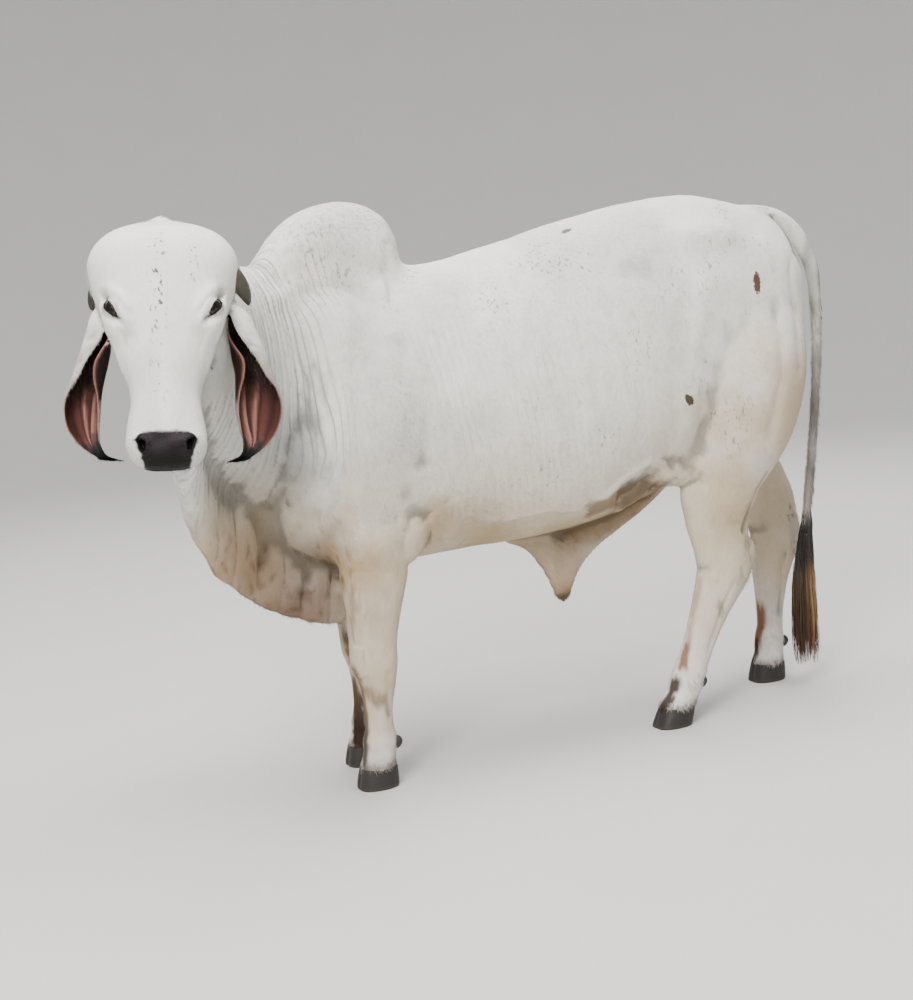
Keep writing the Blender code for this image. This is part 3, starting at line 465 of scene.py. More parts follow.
# Skull and jaw in the head frame: u, half width, front, back, and the powers of front and back
skullRows = [
    (-0.012, 0.050, -0.045, -0.105, 1.0, 1.0),
    (0.004, 0.096, -0.008, -0.135, 0.95, 1.0),
    (0.030, 0.132, 0.026, -0.150, 0.9, 1.0),
    (0.065, 0.157, 0.046, -0.165, 0.85, 1.0),
    (0.100, 0.1665, 0.054, -0.180, 0.85, 1.0),
    (0.135, 0.1625, 0.052, -0.190, 0.85, 1.0),
    (0.170, 0.150, 0.047, -0.195, 0.85, 1.0),
    (0.205, 0.137, 0.041, -0.190, 0.85, 1.0),
    (0.250, 0.123, 0.031, -0.180, 0.85, 1.0),
    (0.295, 0.109, 0.020, -0.165, 0.85, 1.0),
    (0.340, 0.094, 0.010, -0.145, 0.85, 0.95),
    (0.380, 0.080, 0.000, -0.130, 0.85, 0.9),
    (0.420, 0.0755, -0.008, -0.118, 0.8, 0.9),
    (0.460, 0.0830, -0.014, -0.116, 0.72, 0.85),
    (0.500, 0.0880, -0.022, -0.116, 0.68, 0.8),
    (0.532, 0.0840, -0.036, -0.114, 0.72, 0.8),
    (0.551, 0.0680, -0.054, -0.108, 0.85, 0.85),
    (0.559, 0.0430, -0.068, -0.098, 0.95, 0.95),
]

jawRows = [
    (0.150, 0.060, -0.110, -0.190, 1.0, 1.0),
    (0.200, 0.082, -0.100, -0.212, 1.0, 1.0),
    (0.250, 0.084, -0.095, -0.218, 1.0, 1.0),
    (0.310, 0.072, -0.090, -0.204, 1.0, 0.95),
    (0.370, 0.060, -0.090, -0.182, 1.0, 0.9),
    (0.430, 0.056, -0.092, -0.165, 0.95, 0.85),
    (0.485, 0.059, -0.096, -0.160, 0.9, 0.8),
    (0.522, 0.054, -0.102, -0.155, 0.9, 0.85),
    (0.542, 0.036, -0.112, -0.145, 1.0, 1.0),
]

# Masses of the head: centre and half sizes. Those of headSides have a twin
headMiddle = [((-0.002, -0.004, -0.045), (0.024, 0.026, 0.035))]
headSides = [
    ((0.215, 0.086, -0.016), (0.080, 0.050, 0.052)),
    ((0.245, 0.066, -0.130), (0.095, 0.038, 0.064)),
    ((0.508, 0.050, -0.062), (0.038, 0.040, 0.042)),
]

# Ears: how far out, how far down, half width, depth, and the angles where the rim starts and ends
earLeftRows = [
    (-0.040, -0.030, 0.020, 0.016, 150, -165),
    (0.000, 0.000, 0.024, 0.019, 142, -172),
    (0.013, 0.050, 0.034, 0.025, 106, -200),
    (0.027, 0.099, 0.041, 0.029, 74, -246),
    (0.036, 0.140, 0.043, 0.030, 54, -236),
    (0.042, 0.176, 0.049, 0.030, 24, -216),
    (0.044, 0.215, 0.0515, 0.029, 8, -207),
    (0.043, 0.255, 0.044, 0.025, 2, -202),
    (0.038, 0.287, 0.030, 0.018, 0, -192),
    (0.024, 0.311, 0.0185, 0.012, 0, -182),
    (0.003, 0.327, 0.0115, 0.008, 0, -180),
    (-0.019, 0.333, 0.0055, 0.005, 0, -180),
]

earRightRows = [
    (-0.052, -0.030, 0.020, 0.016, 150, -165),
    (-0.024, 0.000, 0.024, 0.019, 142, -180),
    (-0.013, 0.050, 0.030, 0.025, 104, -222),
    (0.000, 0.100, 0.035, 0.029, 66, -262),
    (0.013, 0.142, 0.037, 0.030, 50, -250),
    (0.024, 0.178, 0.040, 0.030, 24, -222),
    (0.028, 0.215, 0.040, 0.029, 8, -208),
    (0.026, 0.252, 0.034, 0.025, 2, -202),
    (0.016, 0.283, 0.024, 0.017, 0, -192),
    (-0.002, 0.306, 0.0155, 0.011, 0, -182),
    (-0.024, 0.320, 0.0100, 0.008, 0, -180),
    (-0.045, 0.324, 0.0055, 0.005, 0, -180),
]

# Horns, nostrils and mouth in the head frame: u, v, w, and the radius or half width
hornLeftRows = [
    (0.080, 0.104, -0.036, 0.025),
    (0.110, 0.138, -0.040, 0.0235),
    (0.132, 0.161, -0.053, 0.0205),
    (0.149, 0.175, -0.071, 0.0150),
    (0.160, 0.182, -0.088, 0.0085),
    (0.165, 0.184, -0.098, 0.0030),
]

hornRightRows = [
    (0.072, 0.104, -0.088, 0.025),
    (0.100, 0.128, -0.097, 0.0235),
    (0.122, 0.144, -0.106, 0.0205),
    (0.142, 0.153, -0.116, 0.0150),
    (0.155, 0.157, -0.123, 0.0085),
    (0.160, 0.158, -0.127, 0.0030),
]

nostrilRows = [
    (0.505, 0.063, -0.036, 0.0030),
    (0.510, 0.058, -0.032, 0.0070),
    (0.518, 0.050, -0.032, 0.0090),
    (0.528, 0.048, -0.038, 0.0060),
    (0.536, 0.056, -0.050, 0.0030),
]

mouthRows = [
    (0.405, 0.068, -0.112, 0.0020),
    (0.430, 0.070, -0.113, 0.0035),
    (0.465, 0.078, -0.114, 0.0040),
    (0.500, 0.082, -0.113, 0.0040),
    (0.530, 0.076, -0.110, 0.0040),
    (0.552, 0.050, -0.104, 0.0040),
    (0.562, 0.015, -0.100, 0.0040),
    (0.563, -0.010, -0.099, 0.0040),
]

# Feet: middle x and y of the coronet, how far the toe reaches ahead of it, and x of the dewclaws
feetPlaces = {"forelegLeft": (-0.566, -0.110, 0.052, -0.517), "forelegRight": (-0.516, 0.110, 0.052, -0.467),
              "hindlegLeft": (0.287, -0.120, 0.066, 0.360), "hindlegRight": (0.737, 0.120, 0.054, 0.785)}


# Head frame: u runs down the face from the poll, v to the bull's left, w out of the face
headPlace = {"poll": (-1.007, -0.282, 1.417), "yaw": 13.2, "pitch": 27, "roll": -5}


def headTurn():
    # Rows are the directions of u, v and w
    yaw, pitch, roll = (math.radians(headPlace[k]) for k in ("yaw", "pitch", "roll"))
    facing = Vector((-math.sin(yaw), -math.cos(yaw), 0))
    left = Vector((math.cos(yaw), -math.sin(yaw), 0))
    down = facing * math.sin(pitch) + Vector((0, 0, -1)) * math.cos(pitch)
    out = facing * math.cos(pitch) + Vector((0, 0, 1)) * math.sin(pitch)
    turn = Matrix.Rotation(roll, 3, out)
    return np.array([turn @ down, turn @ left, out])


headAxes = headTurn()
headPoll = np.array(headPlace["poll"])


def toHead(points):
    # Body places to u, v and w: (p - poll) times the head's axes
    return (points - headPoll) @ headAxes.T


def fromHead(places):
    # u, v and w to body places: poll + u, v, w times the head's axes
    return headPoll + np.asarray(places, float) @ headAxes


def barrel(name, rows):
    # Body along X: upright superellipse rings, with their own upper and lower heights
    x, top, middle, bottom, half, upper, lower = smoothRows(rows, 4).T[:, :, None]
    turn = wholeTurn(ringPoints)
    side, rise = np.cos(turn), np.sin(turn)
    y = half * signedPower(side, np.where(rise > 0, upper, lower))
    z = middle + np.where(rise > 0, top - middle, middle - bottom) * signedPower(rise, 0.92)
    return gridObject(name, np.stack([x + 0 * y, y, z], -1))


def curtain(name, rows, power=1.0, wave=0.0):
    # Upright ovals along a path seen from above, swaying sideways by the wave towards their foot
    rows = smoothRows(rows, 4)
    along = unit(np.gradient(rows[:, :2], axis=0))
    across = np.stack([-along[:, 1], along[:, 0]], 1)[:, None]
    turn = wholeTurn(ringPoints)
    middle, high = (rows[:, 2] + rows[:, 3]) / 2, (rows[:, 2] - rows[:, 3]) / 2
    sway = wave * np.sin(1.1 * np.arange(len(rows)))[:, None] * (0.5 - 0.5 * np.sin(turn))
    flat = rows[:, 4:5] * signedPower(np.cos(turn), power) + sway
    plan = rows[:, None, :2] + flat[..., None] * across
    z = middle[:, None] + high[:, None] * np.sin(turn)
    return gridObject(name, np.concatenate([plan, z[..., None]], -1))


def limb(name, rows, around=ringPoints):
    # Oval rings square to a path, with half sizes ahead and across
    rows = smoothRows(rows, 4)
    path = rows[:, :3]
    way = unit(np.gradient(path, axis=0))
    across = unit(np.cross(way, (-1, 0, 0)))[:, None]
    front = np.cross(across[:, 0], way)[:, None]
    turn = wholeTurn(around)[None, :, None]
    grid = (path[:, None] + np.cos(turn) * rows[:, None, 3:4] * front
            + np.sin(turn) * rows[:, None, 4:5] * across)
    return gridObject(name, grid)


def ball(name, centre, halves, axes=np.eye(3)):
    # Ellipsoid: rings from pole to pole, set along the rows of axes
    polar = np.linspace(0.03, np.pi - 0.03, 15)[:, None]
    turn = wholeTurn(24)[None]
    local = np.stack([np.sin(polar) * np.cos(turn), np.sin(polar) * np.sin(turn), np.cos(polar) + 0 * turn],
                     -1)
    return gridObject(name, np.asarray(centre) + (local * halves) @ axes)


def turnedAxes(degrees):
    # Rows are the x, y and z directions turned about x, then y, then z
    spins = [Matrix.Rotation(math.radians(a), 3, k) for a, k in zip(degrees, "XYZ")]
    return np.array(spins[2] @ spins[1] @ spins[0]).T


def headLoft(name, rows):
    # Body down the face: rings square to it, with separate front and back depths
    u, half, front, back, frontPower, backPower = smoothRows(rows, 4).T[:, :, None]
    turn = wholeTurn(ringPoints)
    side, rise = np.cos(turn), np.sin(turn)
    middle = back + (front - back) * 0.55
    power = np.where(rise > 0, frontPower, backPower)
    v = half * signedPower(side, power)
    w = middle + np.where(rise > 0, front - middle, middle - back) * signedPower(rise, power)
    return gridObject(name, fromHead(np.stack([u + 0 * v, v, w], -1)))


def mirroredRows(rows, shift):
    # The same rows on the other side: y becomes -y and x moves by shift
    return [(x + shift, -y, *rest) for x, y, *rest in rows]


def slimStart(rows):
    # Rows whose first ring is a fifth slimmer, so that it ends inside the body
    x, y, z, ahead, across = rows[0]
    return [(x, y, z, ahead * 0.8, across * 0.8), *rows[1:]]


def trunkForms():
    # Torso, hump, neck, dewlap, the tops of the legs and the body's masses on both sides
    forms = [barrel("torsoForm", torsoRows), barrel("humpForm", humpRows), curtain("neckForm", neckRows),
             curtain("dewlapForm", dewlapRows, 0.8, 0.008), limb("foreNearTop", foreNearRows[:6]),
             limb("foreFarTop", mirroredRows(foreNearRows[:6], foreFarShift)),
             limb("hindNearTop", hindNearRows[:6]), limb("hindFarTop", hindFarRows[:6])]
    for (x, y, z), halves, degrees in bodyMasses:
        forms += [ball("mass", (x, side * y, z), halves, turnedAxes(degrees)) for side in (1, -1)]
    return forms


def headForms():
    # Skull, jaw and the head's masses, those beside the middle on both sides
    forms = [headLoft("skullForm", skullRows), headLoft("jawForm", jawRows)]
    forms += [ball("headMass", fromHead(centre), halves, headAxes) for centre, halves in headMiddle]
    for (u, v, w), halves in headSides:
        forms += [ball("headMass", fromHead((u, side * v, w)), halves, headAxes) for side in (1, -1)]
    return forms


def limbForms():
    # Lower legs, tail, scrotum, sheath, the sharp points of joints, and fetlocks
    forms = [limb("foreNear", slimStart(foreNearRows[4:])),
             limb("foreFar", slimStart(mirroredRows(foreNearRows[4:], foreFarShift))),
             limb("hindNear", slimStart(hindNearRows[4:])), limb("hindFar", slimStart(hindFarRows[4:])),
             limb("tailForm", tailRows, around=24), limb("scrotumForm", scrotumRows),
             curtain("sheathForm", sheathRows, 0.8)]
    forms += [ball("point", centre, halves, turnedAxes(degrees)) for centre, halves, degrees in sharpMasses]
    forms += [ball("fetlock", (stud - 0.013, y, 0.112), (0.018, 0.027, 0.024))
              for _, y, _, stud in feetPlaces.values()]
    return forms


# What the skin does over the forms. Lines are drawn as seen from the side, in x and z.
# Each: points, half width, height (a groove is below zero), and which sides have it
skinLines = [
    ([(-0.74, 1.21), (-0.684, 1.232), (-0.552, 1.266), (-0.467, 1.222), (-0.42, 1.21)], 0.028, 0.008, "both"),
    ([(-0.400, 1.34), (-0.408, 1.275), (-0.425, 1.245)], 0.018, -0.004, "both"),
    ([(0.06, 0.628), (0.12, 0.672), (0.21, 0.722), (0.29, 0.680), (0.35, 0.655)], 0.012, 0.006, "both"),
    ([(0.12, 0.630), (0.20, 0.660), (0.28, 0.635)], 0.030, -0.012, "both"),
    ([(-0.55, 1.19), (-0.60, 0.98), (-0.64, 0.80)], 0.030, 0.005, "both"),
    ([(-0.44, 1.13), (-0.41, 0.95), (-0.42, 0.76)], 0.034, -0.006, "both"),
    ([(-0.66, 0.74), (-0.55, 0.65), (-0.47, 0.66)], 0.022, -0.005, "both"),
    ([(-0.41, 0.66), (-0.36, 0.60), (-0.28, 0.575)], 0.020, 0.006, "both"),
    ([(0.17, 1.245), (0.25, 1.200)], 0.045, -0.009, "both"),
    ([(0.43, 1.20), (0.36, 1.00), (0.33, 0.80), (0.30, 0.70)], 0.030, 0.006, "both"),
    ([(0.33, 0.70), (0.24, 0.645), (0.14, 0.60)], 0.024, 0.009, "both"),
    ([(0.64, 1.12), (0.62, 0.90), (0.56, 0.70)], 0.020, -0.005, "both"),
    ([(0.72, 1.22), (0.71, 1.05), (0.68, 0.88)], 0.016, -0.004, "both"),
    ([(-0.22, 1.14), (-0.18, 0.98), (-0.15, 0.78)], 0.020, 0.0022, "both"),
    ([(-0.12, 1.16), (-0.08, 0.98), (-0.05, 0.76)], 0.020, 0.0026, "both"),
    ([(-0.02, 1.18), (0.02, 0.98), (0.05, 0.76)], 0.020, 0.0026, "both"),
    ([(0.08, 1.20), (0.12, 1.00), (0.15, 0.80)], 0.020, 0.0022, "both"),
    ([(-0.33, 0.66), (-0.20, 0.62), (-0.08, 0.63), (0.08, 0.61), (0.18, 0.63)], 0.007, 0.0028, "both"),
    ([(-0.536, 0.30), (-0.532, 0.24), (-0.536, 0.16)], 0.008, -0.0035, "near"),
    ([(-0.486, 0.30), (-0.482, 0.24), (-0.486, 0.16)], 0.008, -0.0035, "far"),
    ([(0.478, 0.38), (0.430, 0.30), (0.366, 0.17)], 0.009, -0.0035, "near"),
    ([(0.790, 0.38), (0.776, 0.30), (0.766, 0.17)], 0.009, -0.0035, "far"),
    ([(0.590, 0.66), (0.535, 0.56), (0.505, 0.48)], 0.013, -0.006, "near"),
    ([(0.785, 0.66), (0.815, 0.56), (0.826, 0.48)], 0.013, -0.006, "far"),
    ([(0.40, 0.52), (0.415, 0.42), (0.405, 0.37)], 0.014, 0.003, "near"),
    ([(-0.60, 0.37), (-0.605, 0.32), (-0.598, 0.28)], 0.014, 0.003, "near"),
]
# Fine folds: how deep and how far apart, in metres
foldSizes = {"neckDeep": 0.0042, "neckApart": 0.0185, "dewlapDeep": 0.0045, "dewlapApart": 0.062,
             "elbowDeep": 0.0022, "ribDeep": 0.0011, "ribApart": 0.021, "sheathDeep": 0.0022}


def creased(phase):
    # Rounded ridges with narrow valleys between them: 0 at the crest, -1 in the valley
    return np.abs(np.sin(phase / 2)) ** 0.55 - 1


def neckArc(points):
    # How far along the neck each point lies, as upright planes across the neck's way
    x, y, z = points.T
    return -0.83 * x - 0.50 * y + 0.06 * z


def foldBend(points):
    # How far the folds' phase wanders
    return lattice(points, 0.16, 1) * 2.4 + lattice(points, 0.06, 2) * 0.8


def neckFolds(points):
    # The neck's folds: crests across the neck's way, swaying by foldBend and with the height
    return creased(neckArc(points) / foldSizes["neckApart"] * 2 * np.pi + foldBend(points) + 2 * points[:, 2])


def skinRelief(points):
    # Sum of drawn lines, each a bell across its width, and of the masked fields of folds
    x, y, z = points.T
    height = np.zeros(len(points))
    side = points[:, [0, 2]] + 0.006 * np.stack([lattice(points, 0.05, 5), lattice(points, 0.05, 6)], 1)
    for line, wide, high, which in skinLines:
        away, along = lineDistance(side, line)
        ends = ramp(0, 0.12, along) * ramp(1, 0.88, along) if len(line) > 2 else 1
        shown = ramp(0.02, 0.06, y if which == "far" else -y if which == "near" else np.abs(y))
        height += high * np.exp(-(away / wide) ** 2) * ends * shown
    bend = foldBend(points)
    arc = neckArc(points)
    neck = (ramp(-0.56, -0.68, x) * ramp(0.70, 0.86, z) * ramp(1.34, 1.24, z)
            * ramp(0.02, 0.10, -toHead(points)[:, 2] - 0.12))
    height += foldSizes["neckDeep"] * neck * neckFolds(points) * (0.65 + 0.5 * lattice(points, 0.13, 3))
    under = ramp(-0.47, -0.58, x) * ramp(0.86, 0.62, z) * ramp(0.12, 0.07, np.abs(y))
    front = ramp(-0.70, -0.80, x) * ramp(1.02, 0.86, z)
    dewlap = np.maximum(under * ramp(0.60, 0.52, z), front)
    height += (foldSizes["dewlapDeep"] * dewlap
               * creased(arc / foldSizes["dewlapApart"] * 2 * np.pi + bend * 0.8 + 2 * z))
    height += 0.35 * foldSizes["dewlapDeep"] * dewlap * lattice(points * (1, 1, 0.35), 0.016, 4)
    elbowX, elbowZ = x + 0.415, z - 0.655
    far = np.hypot(elbowX, elbowZ)
    fan = np.arctan2(elbowZ, elbowX)
    elbow = ramp(0.03, 0.08, far) * ramp(0.21, 0.12, far) * ramp(0.10, 0.16, np.abs(y)) * ramp(0.545, 0.58, z)
    height += (foldSizes["elbowDeep"] * elbow * creased(fan * 11 + bend * 1.6)
               * np.clip(0.4 + lattice(points, 0.05, 14), 0, 1))
    ribs = ramp(-0.46, -0.36, x) * ramp(0.28, 0.10, x) * ramp(0.60, 0.68, z) * ramp(1.18, 1.05, z)
    height += (foldSizes["ribDeep"] * ribs
               * creased((x + 0.12 * z) / foldSizes["ribApart"] * 2 * np.pi + bend * 1.3)
               * np.clip(0.5 + lattice(points, 0.11, 7), 0, 1))
    stifle = ramp(0.20, 0.30, x) * ramp(0.50, 0.38, x) * ramp(0.56, 0.62, z) * ramp(0.78, 0.70, z)
    height += (0.0016 * stifle * creased((x - 0.8 * z) / 0.034 * 2 * np.pi + bend * 1.5)
               * np.clip(0.3 + lattice(points, 0.07, 13), 0, 1))
    sheath = ramp(-0.12, -0.04, x) * ramp(0.32, 0.18, x) * ramp(0.54, 0.50, z) * ramp(0.10, 0.06, np.abs(y))
    height += foldSizes["sheathDeep"] * sheath * creased((x * 0.8 + z) / 0.019 * 2 * np.pi + bend)
    height += 0.0010 * lattice(points, 0.035, 8) + 0.0022 * lattice(points, 0.14, 9)
    return height


# Eye: centre, the way it looks and the way its slit runs in the head frame, and half the opening
eyeValues = {"centre": (0.2240, 0.0975, -0.0005), "look": (0.05, 0.66, 0.75), "slit": (-0.86, 0.28, -0.42),
             "radius": 0.0280, "halfLong": 0.0285, "halfHigh": 0.0070}


def eyeFrame(side):
    # Centre, then the unit directions along the slit, across it and out of the eye
    u, v, w = eyeValues["centre"]
    centre = fromHead((u, side * v, w))
    look = unit(np.array([eyeValues["look"][0], side * eyeValues["look"][1], eyeValues["look"][2]])
                @ headAxes)
    slit = np.array([eyeValues["slit"][0], side * eyeValues["slit"][1], eyeValues["slit"][2]]) @ headAxes
    slit = unit(slit - look * (slit @ look))
    across = np.cross(look, slit)
    across = across if across @ headAxes[0] < 0 else -across
    return centre, slit, across, look


def lidDistance(points, side):
    # Distance along the eyeball from the edge of its almond opening, below zero inside, with the local places
    centre, slit, across, look = eyeFrame(side)
    local = (points - centre) @ np.stack([slit, across, look]).T
    a, b, c = local.T
    radius = eyeValues["radius"]
    ahead = np.maximum(c, 0.004)
    longAngle, highAngle = np.arctan2(a, ahead), np.arctan2(b, ahead)
    half, high = eyeValues["halfLong"] / radius, eyeValues["halfHigh"] / radius
    share = np.clip(1 - (longAngle / half) ** 2, 0, 1)
    # The upper lid is arched most towards the inner corner, the lower one lies flatter
    arch = np.where(b > 0, 1.25 - 0.30 * longAngle, 0.80 + 0.15 * longAngle)
    edge = high * share**0.75 * arch
    inside = (np.abs(highAngle) - edge) * radius
    beyond = np.hypot(np.maximum(np.abs(longAngle) - half, 0), highAngle) * radius
    return np.where(np.abs(longAngle) < half, inside, np.maximum(beyond, inside)), local


def shapeLids(points):
    # Skin is drawn onto the eyeball as lids with a fold over them, and passes behind it in the opening
    for side in (1, -1):
        centre = eyeFrame(side)[0]
        far = np.linalg.norm(points - centre, axis=1)
        near = np.where(far < 0.066)[0]
        away, local = lidDistance(points[near], side)
        keep = local[:, 2] > 0.002
        near, away, local, far = near[keep], away[keep], local[keep], far[near][keep]
        radius = eyeValues["radius"]
        lid = (radius + 0.0016 + 0.0014 * ramp(0, 0.004, away)
               - 0.0016 * np.exp(-((away - 0.0085) / 0.0020) ** 2) * (local[:, 1] > 0))
        inside = radius - 0.004
        lid = inside + (lid - inside) * ramp(-0.0012, 0.0002, away)
        # Wrinkles run round the opening
        lid += (0.0006 * creased(away / 0.0032 * 2 * np.pi) * ramp(0.010, 0.014, away)
                * ramp(0.030, 0.018, away))
        blend = ramp(0.0090, 0.0240, away) + (1 - ramp(0.002, 0.010, local[:, 2]))
        blend = np.clip(blend, 0, 1)
        target = far * blend + lid * (1 - blend)
        points[near] = centre + (points[near] - centre) * (target / far)[:, None]
    return points


# Lines on the head in its own frame: points, half width, height; each has a twin
headLines = [
    ([(0.235, 0.070, 0.036), (0.205, 0.090, 0.036), (0.182, 0.116, 0.022), (0.176, 0.136, 0.000)], 0.008,
     0.0034),
    ([(0.243, 0.076, 0.032), (0.214, 0.092, 0.030), (0.192, 0.114, 0.018), (0.186, 0.130, 0.000)], 0.0028,
     -0.0018),
    ([(0.262, 0.090, 0.022), (0.276, 0.082, 0.018), (0.292, 0.076, 0.012)], 0.005, -0.0020),
    ([(0.300, 0.000, 0.030), (0.360, 0.000, 0.016), (0.430, 0.000, -0.002)], 0.010, 0.0014),
    ([(0.262, 0.118, -0.030), (0.300, 0.104, -0.040), (0.345, 0.088, -0.046)], 0.010, 0.0026),
    ([(0.255, 0.098, 0.010), (0.285, 0.086, 0.006), (0.320, 0.076, -0.002)], 0.006, -0.0022),
    ([(0.170, 0.120, 0.035), (0.190, 0.128, 0.018), (0.215, 0.136, -0.010)], 0.008, 0.0022),
    ([(0.185, 0.094, 0.044), (0.215, 0.080, 0.040), (0.245, 0.076, 0.030)], 0.007, -0.0014),
    ([(0.300, 0.050, 0.022), (0.370, 0.036, 0.004), (0.440, 0.030, -0.010)], 0.012, 0.0018),
    ([(0.300, 0.094, -0.120), (0.250, 0.112, -0.170), (0.200, 0.104, -0.200)], 0.014, -0.0035),
    ([(0.462, 0.070, -0.034), (0.488, 0.078, -0.050), (0.512, 0.084, -0.070)], 0.006, -0.0016),
    ([(0.430, 0.062, -0.070), (0.470, 0.078, -0.080), (0.510, 0.086, -0.088)], 0.007, 0.0015),
]


def twinPlaces(local):
    # Both sides of the head as one: u, the size of v, and w
    return np.stack([local[:, 0], np.abs(local[:, 1]), local[:, 2]], 1)


def nostrilAway(twin):
    # Distance from the nostril's comma, and the comma's half width there
    nostril = np.array(nostrilRows)
    away, along = lineDistance(twin, nostril[:, :3])
    return away, np.interp(along, np.linspace(0, 1, len(nostril)), nostril[:, 3])


def mouthAway(twin):
    # Distance from the line of the mouth, and how far along it
    return lineDistance(twin, np.array(mouthRows)[:, :3])


def headRelief(points, normals):
    # Lines, nostrils pressed in along their commas with a raised rim, and the line of the mouth between lips
    local = toHead(points)
    twin = twinPlaces(local)
    push = np.zeros(len(points))
    for line, wide, high in headLines:
        push += high * np.exp(-(lineDistance(twin, line)[0] / wide) ** 2)
    away, size = nostrilAway(twin)
    push += (-0.017 * ramp(1.15, 0.45, away / size) * ramp(0.002, 0.006, size)
             + 0.0022 * np.exp(-((away - size - 0.0035) / 0.0035) ** 2))
    mouth = np.array(mouthRows)
    away, along = mouthAway(twin)
    above = twin[:, 2] > np.interp(twin[:, 0], mouth[:, 0], mouth[:, 2])
    groove = np.exp(-(away / 0.0022) ** 2)
    lips = np.exp(-((away - 0.0075) / 0.0045) ** 2) * ramp(0, 0.2, along)
    push += -0.0055 * groove + np.where(above, 0.0022, 0.0012) * lips
    push += padMask(local) * 0.0005 * lattice(points, 0.0045, 11)
    # A short crosswise fold over the muzzle
    push += (-0.0012 * np.exp(-((local[:, 0] - 0.437) / 0.004) ** 2) * ramp(0.05, 0.02, np.abs(local[:, 1]))
             * ramp(-0.05, -0.02, local[:, 2]))
    return points + normals * push[:, None]


def padMask(local):
    # Bare leather of the nose: between the nostrils, narrowing to the lip
    u, v, w = local.T
    ragged = 0.0035 * lattice(local, 0.010, 12)
    half = np.interp(u, [0.488, 0.500, 0.512, 0.530, 0.548, 0.565],
                     [0.030, 0.055, 0.067, 0.060, 0.050, 0.046])
    return (ramp(0.004, -0.003, np.abs(v) - half + ragged) * ramp(0.492, 0.499, u + ragged * 0.6)
            * ramp(-0.118, -0.106, w))


# Ears: root in the head frame, wall, ridges inside as places across and how high
earValues = {"root": (0.188, 0.156, -0.085), "wall": 0.0050, "rimShare": 0.5, "steps": 5, "across": 34,
             "hook": 0.0180, "ridges": (0.46, 0.60), "ridgeHigh": 0.0026, "ridgeWide": 0.026,
             "reach": 0.25, "onSkin": 0.0045}


def earRows(side):
    # An ear's rows with the curve's points between them
    return smoothRows(earLeftRows if side > 0 else earRightRows, earValues["steps"])


def ridgeAt(ridge, long):
    # Where across the ear a ridge runs: its place, swaying as it goes down
    return ridge + 0.05 * np.sin(5 * long + 9 * ridge)


def placesOnEar(points, grid, away):
    # Points nearer to an ear than away, and the nearest of the ear's own points
    close = np.where(np.linalg.norm(points - grid.mean(0), axis=1) < earValues["reach"])[0]
    tree = placeTree(grid)
    found = [tree.find(points[i]) for i in close]
    onEar = np.array([f[2] for f in found]) < away
    return close[onEar], np.array([f[1] for f in found])[onEar]


def earGrid(side):
    # Loop round a thin shell at each station: out along the back, home along the inside.
    # Also returns how far down, how far across and whether inside, for every point
    rows = earRows(side)
    out, down, half, depth, first, last = rows.T[:, :, None]
    long = np.linspace(0, 1, len(rows))[:, None]
    hook = earValues["hook"] * ramp(0.80, 0.90, long) * np.sqrt(ramp(1.05, 0.93, long))
    half, depth = np.maximum(half, hook), np.maximum(depth, 0.8 * hook)
    count = earValues["across"]
    share = np.r_[np.linspace(0, 1, count), np.linspace(1, 0, count)][None]
    inside = np.r_[np.zeros(count), np.ones(count)][None]
    turn = np.radians(first + (last - first) * share)
    rim = earValues["rimShare"] + (1 - earValues["rimShare"]) * np.sin(np.pi * share) ** 0.6
    wall = inside * np.minimum(np.minimum(earValues["wall"] * rim, half * 0.6), depth * 0.6)
    for ridge in earValues["ridges"]:
        wall = wall + (inside * earValues["ridgeHigh"]
                       * np.exp(-((share - ridgeAt(ridge, long)) / earValues["ridgeWide"]) ** 2)
                       * ramp(0.18, 0.32, long) * ramp(0.92, 0.78, long))
    roll = (0.0035 * np.sin(7 * long + 2.5 * side) * np.exp(-(share / 0.12) ** 2)
            + 0.0035 * np.sin(8 * long + 1.0) * np.exp(-((1 - share) / 0.12) ** 2))
    roll = roll * ramp(0.15, 0.3, long) * ramp(0.95, 0.8, long)
    yaw = math.radians(headPlace["yaw"])
    facing = np.array([-math.sin(yaw), -math.cos(yaw), 0])
    hang = unit(np.cross(facing, headAxes[1]))
    hang = hang if hang[2] < 0 else -hang
    root = fromHead((earValues["root"][0], side * earValues["root"][1], earValues["root"][2]))
    flat = (out + (half - wall) * np.cos(turn))[..., None] * (side * headAxes[1])
    deep = ((depth - wall) * np.sin(turn) + roll)[..., None] * facing
    grid = root + (down + 0 * share)[..., None] * hang + flat + deep
    facts = np.stack([long + 0 * share, share + 0 * long, inside + 0 * long], -1)
    return grid, facts


# How finely the skin is worked: voxel and smoothing of each stage, faces kept, places cut finer
skinValues = {"trunkVoxel": 0.012, "trunkRounds": 22, "headVoxel": 0.007, "headRounds": 16,
              "voxel": 0.0045, "rounds": 15, "faces": 104000, "coatDepth": 0.0022, "faceDepth": 0.0008}


def headShare(points):
    # 1 on the head in front of the nape and throat, 0 on the neck
    u, v, w = toHead(points).T
    return (ramp(-0.205, -0.170, w + 0.02 * (u > 0.2)) * ramp(0.62, 0.60, u) * ramp(0.24, 0.20, np.abs(v))
            * ramp(-0.70, -0.78, points[:, 0]))


def cutFiner(obj, chosen):
    # Every edge with both ends chosen is halved and its faces filled
    body = bmesh.new()
    body.from_mesh(obj.data)
    body.verts.ensure_lookup_table()
    edges = [e for e in body.edges if chosen[e.verts[0].index] and chosen[e.verts[1].index]]
    bmesh.ops.subdivide_edges(body, edges=edges, cuts=1, use_grid_fill=True)
    bmesh.ops.triangulate(body, faces=[f for f in body.faces if len(f.verts) > 3])
    body.to_mesh(obj.data)
    body.free()


